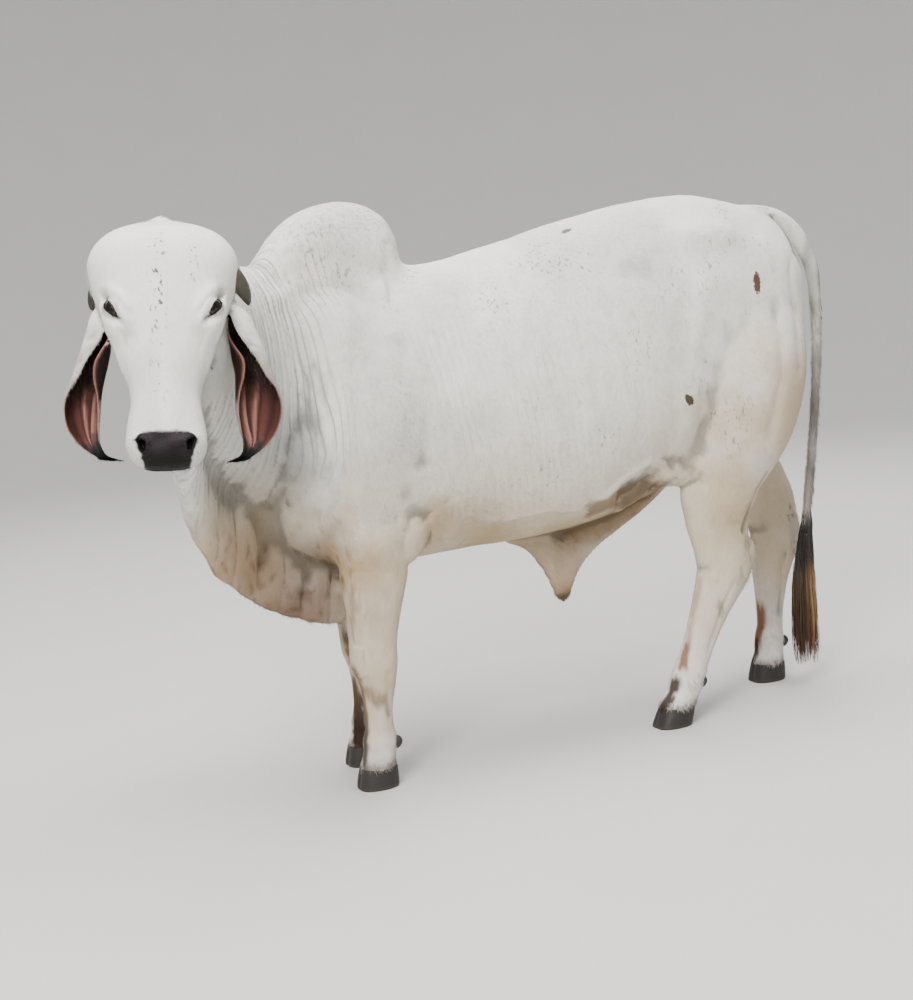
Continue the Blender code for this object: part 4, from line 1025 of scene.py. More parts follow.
def nearEyes(points, reach):
    # Points nearer to an eye's centre than reach
    return np.minimum(*(np.linalg.norm(points - eyeFrame(side)[0], axis=1) for side in (1, -1))) < reach


def nearPad(points, reach):
    # Round the edge of the bare leather
    local = toHead(points)
    inside, outside = (padMask(local * (1, 0.90, 1) + (0.006, 0, 0)),
                       padMask(local * (1, 1.10, 1) - (0.006, 0, 0)))
    rim = np.abs(inside - outside) > 0.5
    return (headShare(points) > 0.5) & (local[:, 0] > 0.48) & rim & (reach > 0.015)


def nearLines(points, reach):
    # Round the nostrils and the line of the mouth
    twin = twinPlaces(toHead(points))
    return (nostrilAway(twin)[0] < reach * 1.6) | (mouthAway(twin)[0] < reach)


def relaxed(obj, points, share, rounds):
    # Each point is drawn by its share towards the mean of its neighbours
    ends = edgeEnds(obj)
    for _ in range(rounds):
        points = points + (neighbourMean(points, *ends) - points) * share[:, None]
    return points


def buildSkin():
    # Forms fused to one skin, thinned out, then cut finer and shaped where the head needs it
    v = skinValues
    trunk = fused(trunkForms(), "trunk", v["trunkVoxel"], v["trunkRounds"])
    head = fused(headForms(), "headForm", v["headVoxel"], v["headRounds"])
    skin = fused([trunk, head] + limbForms(), "skin", v["voxel"], v["rounds"])
    points, normals = getPoints(skin), getNormals(skin)
    onHead = headShare(points)
    feet = ramp(0.10, 0.06, points[:, 2])
    sunk = v["coatDepth"] + (v["faceDepth"] - v["coatDepth"]) * np.maximum(onHead, feet)
    relief = skinRelief(points) * (1 - onHead) * (1 - 0.8 * feet)
    setPoints(skin, points + normals * (relief - sunk)[:, None])
    print("skin formed", len(points))
    thin = skin.modifiers.new("decimate", "DECIMATE")
    thin.ratio = v["faces"] / (2 * len(points))
    skin.modifiers.new("triangulate", "TRIANGULATE")
    applied(skin)
    cutFiner(skin, headShare(getPoints(skin)) > 0.2)
    for reach, lines in ((0.046, 0.020), (0.034, 0.010)):
        points = getPoints(skin)
        cutFiner(skin, nearEyes(points, reach) | nearLines(points, lines) | nearPad(points, lines))
    points = getPoints(skin)
    around = nearEyes(points, 0.05) | nearLines(points, 0.035)
    points = relaxed(skin, points, around * 0.5, 3)
    setPoints(skin, points)
    points = shapeLids(headRelief(points, getNormals(skin)))
    # Below the coronet the legs draw in, to end inside the claws
    for x, y, _, _ in feetPlaces.values():
        close = (points[:, 2] < 0.075) & (np.hypot(points[:, 0] - x, points[:, 1] - y) < 0.12)
        draw = 0.30 * ramp(0.050, 0.040, points[close, 2])[:, None]
        points[close, :2] += ((x, y) - points[close, :2]) * draw
    points[:, 2] = np.maximum(points[:, 2], 0.030)
    setPoints(skin, points)
    print("head shaped", len(points))
    return skin


def joinEars(skin):
    # Ears are united with the skin and the join is smoothed. Returns their points and facts for the paint
    lists = []
    for side in (1, -1):
        grid, facts = earGrid(side)
        ear = gridObject("earForm", grid)
        lists.append((grid.reshape(-1, 3), facts.reshape(-1, 3)))
        before = BVHTree.FromObject(skin, bpy.context.evaluated_depsgraph_get())
        cut = skin.modifiers.new("union", "BOOLEAN")
        cut.operation = "UNION"
        cut.solver = "EXACT"
        cut.object = ear
        applied(skin)
        bpy.data.objects.remove(ear)
        tree = placeTree(lists[-1][0])
        points = getPoints(skin)
        root = grid[: 4 * earValues["steps"]].reshape(-1, 3).mean(0)
        close = np.where(np.linalg.norm(points - root, axis=1) < 0.11)[0]
        share = np.zeros(len(points))
        for i in close:
            onEar = tree.find(points[i])[2]
            onHead = before.find_nearest(points[i])[3]
            share[i] = max(0.0, 1 - max(onEar, onHead) / 0.010)
        setPoints(skin, relaxed(skin, points, np.minimum(share * 1.4, 0.6), 10))
    return lists


# Colours as the eye sees them, 0 to 255
hideTones = {
    "white": (233, 230, 224), "cream": (216, 200, 174), "tan": (180, 157, 122), "grey": (170, 169, 166),
    "pink": (186, 150, 128), "rose": (156, 114, 92), "brown": (100, 74, 56), "dark": (52, 43, 38),
    "mud": (50, 36, 29), "rust": (122, 72, 48), "fold": (138, 136, 134), "slate": (44, 42, 45),
    "pad": (24, 18, 22), "plumSheen": (52, 44, 48), "ink": (8, 7, 7), "tailGrey": (116, 114, 110),
    "earRed": (102, 60, 54), "earPale": (164, 118, 108), "earDeep": (32, 19, 16),
    "switchDark": (30, 24, 20), "switchBlond": (150, 116, 74), "switchRust": (92, 50, 33),
}
# Patches of tone, some of them painted shade: tone, centre, half sizes and strength. A far side of None
# serves both sides.
hidePatches = [
    ("cream", (0.10, None, 0.56), (0.60, 0.40, 0.16), 0.75),
    ("tan", (0.05, None, 0.53), (0.42, 0.30, 0.055), 0.45),
    ("pink", (0.20, None, 0.60), (0.30, 0.12, 0.10), 0.55),
    ("tan", (-0.33, None, 0.62), (0.13, 0.40, 0.10), 0.55),
    ("cream", (0.30, None, 0.80), (0.16, 0.40, 0.24), 0.50),
    ("cream", (0.62, None, 0.88), (0.24, 0.40, 0.26), 0.75),
    ("tan", (0.70, None, 0.80), (0.14, 0.40, 0.24), 0.62),
    ("cream", (0.46, None, 0.50), (0.24, 0.40, 0.26), 0.70),
    ("tan", (0.50, None, 0.55), (0.12, 0.40, 0.16), 0.40),
    ("tan", (0.76, 0.12, 0.50), (0.16, 0.14, 0.24), 0.70),
    ("cream", (-0.55, None, 0.45), (0.18, 0.40, 0.34), 0.60),
    ("grey", (-0.80, -0.20, 0.98), (0.20, 0.24, 0.30), 0.40),
    ("grey", (-0.62, -0.20, 0.76), (0.20, 0.24, 0.20), 0.30),
    ("grey", (-0.70, 0.18, 0.95), (0.34, 0.20, 0.34), 0.34),
    ("grey", (-0.45, None, 0.98), (0.16, 0.40, 0.30), 0.18),
    ("tan", (-0.84, -0.10, 0.66), (0.24, 0.20, 0.22), 0.60),
    ("pink", (-0.84, -0.05, 0.52), (0.26, 0.20, 0.13), 0.55),
    ("rose", (-0.70, 0.0, 0.42), (0.22, 0.20, 0.07), 0.50),
    ("pink", (0.03, 0.0, 0.44), (0.15, 0.20, 0.09), 0.60),
    ("rose", (0.035, 0.0, 0.385), (0.05, 0.10, 0.030), 0.75),
    ("brown", (0.034, 0.0, 0.366), (0.034, 0.10, 0.016), 0.85),
    ("rose", (0.25, 0.0, 0.56), (0.12, 0.07, 0.06), 0.50),
    ("rose", (0.486, 0.0, 0.54), (0.08, 0.07, 0.08), 0.60),
    ("tan", (-0.56, None, 0.24), (0.10, 0.40, 0.12), 0.40),
    ("grey", (0.50, -0.1, 1.30), (0.30, 0.30, 0.10), 0.10),
    ("cream", (-0.50, 0.0, 1.46), (0.10, 0.12, 0.05), 0.25),
    # This row to the brown band under the belly: tan and brown behind the elbow, low on the flank, at the
    # groin, in the hollow between the hind legs and along the belly's underside, partly the hide's own tone
    # and partly painted shade
    ("tan", (-0.385, None, 0.66), (0.050, 0.30, 0.085), 0.95),
    ("tan", (0.60, None, 0.86), (0.14, 0.40, 0.12), 0.40),
    ("tan", (0.42, None, 0.80), (0.14, 0.40, 0.10), 0.50),
    ("brown", (0.17, None, 0.63), (0.10, 0.30, 0.05), 0.45),
    ("brown", (0.24, 0.0, 0.60), (0.13, 0.11, 0.10), 0.90),
    ("brown", (0.05, 0.0, 0.545), (0.34, 0.10, 0.060), 0.70),
    ("brown", (0.04, 0.0, 0.45), (0.12, 0.10, 0.10), 0.45),
    ("dark", (0.034, 0.0, 0.372), (0.030, 0.10, 0.026), 0.85),
    ("tan", (-0.08, None, 0.585), (0.36, 0.28, 0.055), 0.75),
    # Tan and brown on the lower dewlap: partly dirt, partly painted shade
    ("tan", (-0.76, -0.03, 0.60), (0.22, 0.30, 0.17), 0.70),
    ("brown", (-0.69, 0.0, 0.45), (0.18, 0.20, 0.080), 0.60),
    ("brown", (-0.72, -0.03, 0.55), (0.20, 0.25, 0.15), 0.50),
    # Brown here and tan two rows on, in the hollow in front of the near foreleg: painted shade over some tan
    # of the hide
    ("brown", (-0.62, -0.08, 0.62), (0.05, 0.16, 0.14), 0.55),
    ("grey", (-0.78, -0.16, 0.84), (0.16, 0.24, 0.14), 0.60),
    ("tan", (-0.60, -0.10, 0.60), (0.07, 0.12, 0.10), 0.55),
    # Painted shade: grey in the flank's hollow before the hip, below the hip bone and lower on the flank
    ("grey", (0.22, None, 1.215), (0.10, 0.30, 0.035), 0.65),
    ("grey", (0.47, None, 1.13), (0.09, 0.30, 0.06), 0.40),
    ("grey", (0.30, None, 1.00), (0.07, 0.30, 0.20), 0.35),
    ("grey", (-0.30, None, 0.86), (0.10, 0.30, 0.14), 0.30),
    ("grey", (-0.46, None, 0.84), (0.08, 0.30, 0.10), 0.25),
    ("tan", (-0.50, None, 0.60), (0.14, 0.30, 0.10), 0.35),
    ("grey", (-0.58, None, 0.40), (0.06, 0.40, 0.14), 0.30),
    ("pink", (-0.60, None, 1.25), (0.10, 0.30, 0.11), 0.24),
    ("grey", (-0.50, None, 1.34), (0.12, 0.30, 0.10), 0.25),
    ("pink", (-0.55, None, 0.14), (0.12, 0.30, 0.10), 0.65),
    ("pink", (0.50, None, 0.20), (0.40, 0.30, 0.16), 0.35),
    ("brown", (-0.55, None, 0.062), (0.14, 0.30, 0.022), 0.60),
    ("brown", (0.50, None, 0.062), (0.42, 0.30, 0.022), 0.60),
]
# Stains and painted shadows along lines, broken up by fine noise: tone, points, half width and strength
hideStainsAndShadows = [
    # Painted shadow: brown and dark under the arch of the near flank's fold, along the belly's underside,
    # under the far flank's fold, and where the near thigh meets the belly
    ("brown", [(0.070, -0.160, 0.610), (0.14, -0.165, 0.632), (0.215, -0.165, 0.652), (0.27, -0.140, 0.630)],
     0.042, 0.80),
    ("dark", [(0.160, -0.130, 0.612), (0.215, -0.140, 0.636), (0.27, -0.120, 0.620)], 0.030, 0.75),
    ("brown", [(0.060, -0.050, 0.560), (0.15, -0.060, 0.575), (0.27, -0.050, 0.62)], 0.060, 0.80),
    ("brown", [(0.060, 0.050, 0.560), (0.15, 0.060, 0.575), (0.27, 0.050, 0.62)], 0.060, 0.80),
    ("brown", [(0.070, 0.160, 0.610), (0.14, 0.165, 0.632), (0.215, 0.165, 0.652), (0.27, 0.140, 0.630)],
     0.042, 0.80),
    ("brown", [(0.275, -0.150, 0.640), (0.300, -0.135, 0.560), (0.318, -0.125, 0.480)], 0.012, 0.65),
    ("mud", [(-0.598, -0.098, 0.335), (-0.604, -0.124, 0.292), (-0.592, -0.112, 0.227)], 0.013, 0.95),
    ("dark", [(-0.585, -0.135, 0.245), (-0.560, -0.146, 0.222)], 0.020, 0.70),
    ("mud", [(-0.590, -0.104, 0.200), (-0.594, -0.112, 0.127), (-0.598, -0.120, 0.063)], 0.017, 0.90),
    ("mud", [(-0.565, 0.085, 0.370), (-0.550, 0.080, 0.294), (-0.541, 0.098, 0.198)], 0.017, 1.0),
    ("mud", [(-0.540, 0.100, 0.190), (-0.536, 0.088, 0.142), (-0.542, 0.079, 0.071)], 0.030, 1.0),
    ("dark", [(-0.621, -0.132, 0.536), (-0.617, -0.134, 0.516)], 0.007, 0.85),
    ("rust", [(0.375, -0.132, 0.380), (0.337, -0.131, 0.260), (0.323, -0.133, 0.209)], 0.010, 0.45),
    ("rust", [(0.323, -0.133, 0.209), (0.300, -0.137, 0.157)], 0.012, 0.90),
    ("mud", [(0.285, -0.135, 0.120), (0.254, -0.133, 0.075), (0.237, -0.124, 0.050)], 0.018, 0.95),
    ("dark", [(0.422, -0.158, 0.305), (0.424, -0.158, 0.282)], 0.012, 0.60),
    ("rust", [(0.712, 0.110, 0.220), (0.710, 0.113, 0.164), (0.706, 0.120, 0.120)], 0.019, 0.95),
    ("mud", [(0.704, 0.128, 0.105), (0.702, 0.140, 0.065)], 0.020, 0.95),
    ("brown", [(-0.49, -0.10, 0.20), (-0.49, -0.11, 0.10)], 0.014, 0.50),
    ("brown", [(0.400, -0.10, 0.20), (0.345, -0.11, 0.10)], 0.012, 0.45),
    # Painted shadow in the groove between the tail and the rump
    ("dark", [(0.741, -0.034, 1.319), (0.754, -0.070, 1.273), (0.758, -0.100, 1.226), (0.781, -0.092, 1.190)],
     0.012, 0.80),
]


def linear(tone):
    # Display value to the light it stands for
    c = np.array(hideTones[tone] if isinstance(tone, str) else tone) / 255
    return np.where(c < 0.04045, c / 12.92, ((c + 0.055) / 1.055) ** 2.4)


def mixed(colour, tone, share):
    # Each colour moved towards the tone by its share: c + (tone - c) share
    return colour + (linear(tone) - colour) * np.clip(share, 0, 1)[..., None]


def patchShare(points, centre, halves, rough):
    # 1 near the middle of an ellipsoid, 0 from 1.25 of its half sizes on, with a rough edge
    at = np.array([c if c is not None else 0 for c in centre])
    away = (points - at) / halves
    return ramp(1.25, 0.30, np.linalg.norm(away, axis=1) + rough)


def trunkTone(points, fine):
    # White, then the patches, the stains and painted shadows, painted shade in the neck's folds, and the
    # greys and browns of tail and belly, with tan low on the body that is partly painted shade
    colour = np.tile(linear("white"), (len(points), 1))
    broad = 0.30 * lattice(points, 0.11, 21) + 0.12 * lattice(points, 0.035, 22)
    for tone, centre, halves, strength in hidePatches:
        colour = mixed(colour, tone, strength * patchShare(points, centre, halves, broad))
    colour = mixed(colour, "grey", 0.16 * np.clip(lattice(points * (1, 1, 0.4), 0.020, 23), 0, 1))
    colour = mixed(colour, "grey", 0.30 * np.clip(0.2 + 1.2 * lattice(points * (1, 1, 0.45), 0.14, 43), 0, 1)
                   * (1 - headShare(points)))
    # Painted shade in the valleys of the neck's folds
    neck = ramp(-0.56, -0.68, points[:, 0]) * ramp(0.62, 0.80, points[:, 2]) * (1 - headShare(points))
    colour = mixed(colour, "fold", 0.60 * neck * ramp(0.35, 1.0, -neckFolds(points)))
    for tone, line, half, strength in hideStainsAndShadows:
        away = lineDistance(points, line)[0]
        colour = mixed(colour, tone, strength * ramp(1.25, 0.55, away / half + 0.8 * fine))
    x, y, z = points.T
    tail = (ramp(0.80, 0.84, x) * ramp(0.10, 0.05, np.abs(y))
            * ramp(0.835, 0.860, x + 0.12 * ramp(1.0, 0.6, z)))
    colour = mixed(colour, "tailGrey", 0.85 * tail * (0.7 + 0.5 * lattice(points * (1, 1, 0.3), 0.02, 26))
                   * ramp(1.36, 1.20, z))
    # Tan low on the body, rising to full from z 0.98 down to 0.62 and fading out on the lower legs: partly
    # the hide's own tone, partly painted shade
    low = ramp(0.98, 0.62, z) * ramp(0.10, 0.30, z) * (1 - headShare(points)) * (x > -0.62) * (1 - tail)
    colour = mixed(colour, "tan", 0.42 * low * (0.9 + 0.5 * lattice(points, 0.20, 29)))
    freckle = (ramp(0.25, 0.65, lattice(points * (1, 1, 0.6), 0.011, 35)) * ramp(-0.56, -0.62, x)
               * ramp(0.76, 0.60, z))
    colour = mixed(colour, "brown", 0.55 * freckle)
    return mixed(colour, "brown", 0.75 * tail * ramp(0.62, 0.45, z))


def headTone(colour, points, fine):
    # Greys of the cheeks and nose, dark lids, the bare nose pad with a painted sheen at its top and painted
    # shade low in its middle, nostrils darkened with painted shade, and lips.
    # Also returns how glossy and how much like bare leather each point is
    local = toHead(points)
    onHead = headShare(points)
    u, v, w = local.T
    colour = mixed(colour, "white", 0.85 * onHead * ramp(-0.18, -0.08, w))
    colour = mixed(colour, "grey", 0.30 * onHead * ramp(0.27, 0.36, u)
                   * ramp(0.07, 0.03, np.abs(np.abs(v) - 0.052) + 0.01))
    colour = mixed(colour, "grey", 0.35 * onHead * ramp(0.0, -0.08, w) * ramp(0.20, 0.30, u))
    for side in (1, -1):
        corner = fromHead((0.282, side * 0.076, 0.020))
        colour = mixed(colour, "fold", 0.30 * patchShare(points, corner, (0.026, 0.026, 0.026), fine * 0.5))
        near = np.where(np.linalg.norm(points - eyeFrame(side)[0], axis=1) < 0.055)[0]
        away, place = lidDistance(points[near], side)
        ahead = place[:, 2] > 0
        corner = 0.0040 * ramp(0.012, 0.024, np.abs(place[:, 0]))
        rimDark = ramp(0.0040, 0.0020, away + 0.0006 * fine[near] - 0.5 * corner)
        colour[near] = mixed(colour[near], "fold", 0.50 * ahead
                             * ramp(0.020, 0.006, away + 0.003 * fine[near]))
        colour[near] = mixed(colour[near], "ink", 1.02 * ahead * rimDark)
    pad = padMask(local) * onHead
    twin = twinPlaces(local)
    away, size = nostrilAway(twin)
    hole = ramp(1.35, 0.8, away / size) * onHead
    lip = mouthAway(twin)[0]
    lower = (onHead * ramp(-0.098, -0.108, w) * ramp(0.505, 0.525, u + 0.009 * fine)
             * ramp(-0.165, -0.150, w))
    colour = mixed(colour, "slate", 0.75 * lower)
    colour = mixed(colour, "pad", pad * 1.10)
    # Painted sheen: the top middle of the pad is lighter plum grey. Painted shade: its lower middle goes near
    # black
    colour = mixed(colour, "plumSheen", 0.9 * pad * ramp(0.550, 0.515, u) * ramp(0.052, 0.030, np.abs(v))
                   * np.clip(0.6 + lattice(local, 0.018, 41), 0, 1))
    colour = mixed(colour, "ink", 0.8 * pad * ramp(0.525, 0.555, u)
                   * ramp(0.052, 0.030, np.abs(v) + 0.004 * fine))
    colour = mixed(colour, "slate", 0.85 * onHead * ramp(0.0035, 0.0015, lip) * ramp(0.42, 0.46, u))
    # Painted shade inside the nostrils: they go near black
    colour = mixed(colour, "ink", hole)
    gloss = np.clip(0.6 * pad + 0.3 * lower + 0.5 * hole, 0, 1)
    return colour, gloss, np.clip(pad + 0.6 * lower, 0, 1)


def earTone(tone, points, facts, side):
    # Grey and rosy back, red inside with pale ridges between dark hollows, dark at the root and hook. The
    # hollows beside the ridges are painted shade, and the dark inside near the root is dark hair with painted
    # shade
    long, share, inside = facts.T
    noise = lattice(points, 0.012, 28)
    rows = earRows(side)
    first, last = (np.interp(long, np.linspace(0, 1, len(rows)), rows[:, k]) for k in (4, 5))
    angle = first + (last - first) * share
    flap = ramp(-172, -196, angle + 5 * noise) * ramp(0.10, 0.17, long)
    back = (1 - inside) * (1 - flap)
    flap = (1 - inside) * flap
    veins = np.exp(-(lattice(points * (1, 1, 0.5), 0.022, 36) / 0.10) ** 2)
    red = inside * ramp(0.14, 0.20, long)
    # The earDeep washes in the hollow a quarter across, beside each ridge and inside near the root are
    # painted shade
    washes = [("fold", back * (0.45 + 0.30 * noise) * ramp(0.06, 0.35, long + 0.1 * noise)),
              ("rose", back * (0.20 + 0.30 * veins) * ramp(0.10, 0.45, long + 0.15 * noise)),
              ("earRed", red),
              ("earDeep", red * 0.62 * np.exp(-((share - 0.25 - 0.03 * noise) / 0.075) ** 2)
               * ramp(0.98, 0.75, long))]
    for ridge, pale in zip(earValues["ridges"], (0.75, 0.9)):
        past = share - ridgeAt(ridge, long)
        washes += [("earPale", red * pale * np.exp(-(past / 0.026) ** 2) * ramp(0.35, 0.5, long)),
                   ("earDeep", red * 0.75 * np.exp(-((past + 0.055) / 0.022) ** 2))]
    washes += [("earPale", red * 0.40 * ramp(0.60, 0.66, share) * ramp(0.80, 0.70, share)
                * ramp(0.45, 0.6, long)),
               ("slate", red * 0.80 * ramp(0.76, 0.86, share + 0.04 * noise) * ramp(0.3, 0.5, long)),
               ("earDeep", inside * ramp(0.58, 0.36, long + 0.05 * noise) * 0.97),
               ("earDeep", flap * ramp(0.62, 0.46, long + 0.06 * noise)),
               ("slate", flap * 0.6 * ramp(0.46, 0.62, long + 0.06 * noise)),
               ("earPale", 0.85 * ramp(0.965, 0.99, share) * ramp(0.12, 0.2, long)
                * ramp(0.72, 0.6, long)),
               ("brown", 0.6 * ramp(0.035, 0.008, share) * ramp(0.25, 0.4, long)),
               ("slate", 0.95 * ramp(0.68, 0.78, long + 0.06 * noise + 0.10 * (share - 0.5))),
               ("ink", 0.92 * ramp(0.74, 0.86, long + 0.03 * noise))]
    for name, strength in washes:
        tone = mixed(tone, name, strength)
    return tone


def paint(points, ears):
    # Tone of every point of the skin, how glossy it is and how much like bare leather
    fine = 0.45 * lattice(points, 0.018, 24) + 0.3 * lattice(points, 0.007, 25)
    colour, gloss, leather = headTone(trunkTone(points, fine), points, fine)
    for side, (grid, facts) in zip((1, -1), ears):
        close, index = placesOnEar(points, grid, earValues["onSkin"])
        colour[close] = earTone(colour[close], points[close], facts[index], side)
    return colour, gloss, leather


def hollows(skin, points):
    # How deep each point lies under the smoothed skin, in metres: its neighbours' mean, taken 14 times
    ends = edgeEnds(skin)
    smooth = points
    for _ in range(14):
        smooth = neighbourMean(smooth, *ends)
    return ((smooth - points) * getNormals(skin)).sum(1)


def pleats(points):
    # Phase of the finest folds and how strongly they show: upright pleats on the neck, faint lines
    # on the ribs. They come and go along their length
    x, _, z = points.T
    tall = points * (1, 1, 0.28)
    bend = lattice(tall, 0.12, 31) * 2.6 + lattice(tall, 0.040, 32) * 0.9
    onNeck = ramp(-0.50, -0.66, x) * ramp(0.74, 0.92, z) * ramp(1.40, 1.32, z) * (1 - headShare(points))
    onNeck = onNeck * np.clip(0.66 + 0.9 * lattice(tall, 0.060, 33), 0, 1)
    onRibs = ramp(-0.50, -0.40, x) * ramp(0.10, -0.15, x) * ramp(0.62, 0.72, z) * ramp(1.20, 1.10, z)
    onRibs = onRibs * 0.30 * np.clip(0.1 + 1.2 * lattice(tall, 0.06, 34), 0, 1)
    way = neckArc(points) / 0.0123
    phase = np.where(x < -0.50, way, (x + 0.14 * z) / 0.019) * 2 * np.pi + bend
    return phase, np.clip(np.where(x < -0.50, onNeck, onRibs), 0, 1)


def fleckShare(points):
    # Where dark flecks show: columns down the forehead and nose, and faintly on the side of the hump
    u, v, w = toHead(points).T
    column = np.maximum(ramp(0.026, 0.010, np.abs(v + 0.012)), 0.75 * ramp(0.014, 0.006, np.abs(v - 0.066))
                        * ramp(0.20, 0.16, u))
    face = headShare(points) * column * ramp(0.46, 0.40, u) * ramp(0.05, 0.09, u) * ramp(-0.05, 0.0, w)
    face = face * (0.60 + 0.40 * ramp(0.30, 0.24, u))
    hump = (0.50 * ramp(0.15, 0.05, np.hypot(points[:, 0] + 0.58, points[:, 2] - 1.30))
            * (1 - headShare(points)))
    x, _, z = points.T
    flank = (ramp(-0.50, -0.40, x) * ramp(0.66, 0.74, z) * (x < 0.75) * 0.55
             * ramp(0.10, 0.55, lattice(points, 0.09, 37)))
    return np.maximum(np.maximum(face, hump), flank * (1 - headShare(points)))


def offEars(points, ears, numbers):
    # No flecks or pleats on the ears
    for grid, _ in ears:
        numbers[placesOnEar(points, grid, earValues["onSkin"])[0], 2:] = 0
    return numbers


def setNumber(mesh, name, values):
    # One number for each corner
    mesh.attributes.new(name, "FLOAT", "POINT").data.foreach_set("value", values.astype(np.float32))


def setTone(mesh, colour):
    # Tone of each corner: red, green, blue and 1
    flat = np.concatenate([colour, np.ones((len(colour), 1))], 1).astype(np.float32)
    mesh.attributes.new("tone", "FLOAT_COLOR", "POINT").data.foreach_set("color", flat.ravel())


# Coat: thin tufts rooted in the skin and laid along the body. Numbers kept for each point of skin and coat
numberNames = ("gloss", "leather", "fleck", "pleat", "pleatShare")


class SkinData:
    # The finished skin as arrays: corners, normals and facts of its triangles, and its unwrap
    def __init__(self, skin, tone, numbers, ears):
        # Area is half the cross product of two sides, middle the mean of the corners
        mesh = skin.data
        mesh.calc_loop_triangles()
        self.faces = triangleRows(mesh, "vertices")
        self.points, self.normals = getPoints(skin), getNormals(skin)
        self.tone, self.numbers = tone, numbers
        a, b, c = (self.points[self.faces[:, k]] for k in range(3))
        self.area = np.linalg.norm(np.cross(b - a, c - a), axis=1) / 2
        self.middle = (a + b + c) / 3
        self.ears = ears
        self.makeUnwrap(skin)

    def makeUnwrap(self, skin):
        # A light copy of the skin is unwrapped, and roots read their place from it
        light = linked("unwrapForm", skin.data.copy())
        thin = light.modifiers.new("decimate", "DECIMATE")
        thin.ratio = 9000 / len(self.faces)
        applied(light)
        selectOnly([light])
        bpy.ops.object.mode_set(mode="EDIT")
        bpy.ops.mesh.select_all(action="SELECT")
        bpy.ops.uv.smart_project(angle_limit=math.radians(66), island_margin=0.004)
        bpy.ops.object.mode_set(mode="OBJECT")
        mesh = light.data
        mesh.calc_loop_triangles()
        corners = triangleRows(mesh, "vertices")
        uv = np.empty(len(mesh.loops) * 2, np.float32)
        mesh.uv_layers.active.data.foreach_get("uv", uv)
        self.lightCorners = getPoints(light)[corners]
        self.lightUv = uv.reshape(-1, 2)[triangleRows(mesh, "loops")]
        self.lightTree = BVHTree.FromPolygons(getPoints(light).tolist(), corners.tolist())
        bpy.data.objects.remove(light)

    def unwrapPlace(self, roots):
        # Barycentric place in the nearest face of the light copy
        found = [self.lightTree.find_nearest(p) for p in roots]
        index = np.array([f[2] for f in found])
        spot = np.array([f[0] for f in found])
        a, b, c = (self.lightCorners[index, k] for k in range(3))
        whole = np.linalg.norm(np.cross(b - a, c - a), axis=1) + 1e-12
        s = np.linalg.norm(np.cross(c - b, spot - b), axis=1) / whole
        t = np.linalg.norm(np.cross(a - c, spot - c), axis=1) / whole
        r = np.clip(1 - s - t, 0, 1)
        uv = self.lightUv[index]
        return uv[:, 0] * s[:, None] + uv[:, 1] * t[:, None] + uv[:, 2] * r[:, None]


def coatLie(points):
    # Which way the hair runs: back and down on the trunk, down the legs and tail, down the face
    x, y, z = points.T
    way = np.tile([0.80, 0.0, -0.55], (len(points), 1))
    legs = ramp(0.62, 0.50, z)[:, None]
    way = between(way, np.array([0.10, 0, -1.0]), legs)
    tail = (ramp(0.80, 0.86, x) * ramp(0.06, 0.04, np.abs(y)))[:, None]
    way = between(way, np.array([0.0, 0, -1.0]), tail)
    way = between(way, np.array([0.45, 0.18, -0.85]), ramp(-0.60, -0.75, x)[:, None])
    side = np.sign(toHead(points)[:, 1])[:, None]
    face = headAxes[0] + headAxes[1] * side * 0.35 - headAxes[2] * 0.35
    return unit(between(way, face, headShare(points)[:, None]))


def laidFlat(lie, normals):
    # The part of each direction that runs along the skin, as a unit direction
    return unit(lie - normals * (lie * normals).sum(1, keepdims=True))


def tuftMesh(name, roots, normals, lie, size, uv, tone, numbers, rng):
    # Blades with a three-sided section at the root and middle and one tip: ten faces each
    count = len(roots)
    long, wide, lift = size
    lie = laidFlat(lie, normals)
    side = np.cross(normals, lie)
    swing = rng.normal(0, 0.20, count)[:, None]
    lie = unit(lie + side * swing)
    side = np.cross(normals, lie)
    bend = rng.normal(0, 0.12, count)[:, None]
    rings = []
    for at, rise, thick in ((0.0, 0.0, 1.0), (0.5, 0.62, 0.85), (1.0, 1.0, 0.0)):
        up = rise * lift if at > 0 else np.full(count, -0.0010)
        middle = (roots + lie * (long * at)[:, None] + normals * up[:, None]
                  + side * (long * bend[:, 0] * at**2)[:, None])
        half = (wide * 0.5 * thick)[:, None]
        if thick:
            rings += [middle - side * half, middle + side * half, middle + normals * half * 0.55]
        else:
            rings.append(middle)
    points = np.stack(rings, 1)
    pattern = np.array([(0, 1, 4), (0, 4, 3), (1, 2, 5), (1, 5, 4), (2, 0, 3), (2, 3, 5),
                        (3, 4, 6), (4, 5, 6), (5, 3, 6), (0, 2, 1)])
    faces = (pattern[None] + 7 * np.arange(count)[:, None, None]).reshape(-1, 3)
    shade = unit(normals[:, None] * 0.8 + unit(points - points.mean(1, keepdims=True)) * 0.35)
    spots = np.array([(-1, -1), (1, -1), (0, -1), (-1, 0.2), (1, 0.2), (0, 0.2), (0, 1)]) * 0.0014
    places = uv[:, None] + spots[None]
    return meshFromTriangles(name, points.reshape(-1, 3), faces, places.reshape(-1, 2), np.repeat(tone, 7, 0),
                             np.repeat(numbers, 7, 0), shade.reshape(-1, 3))


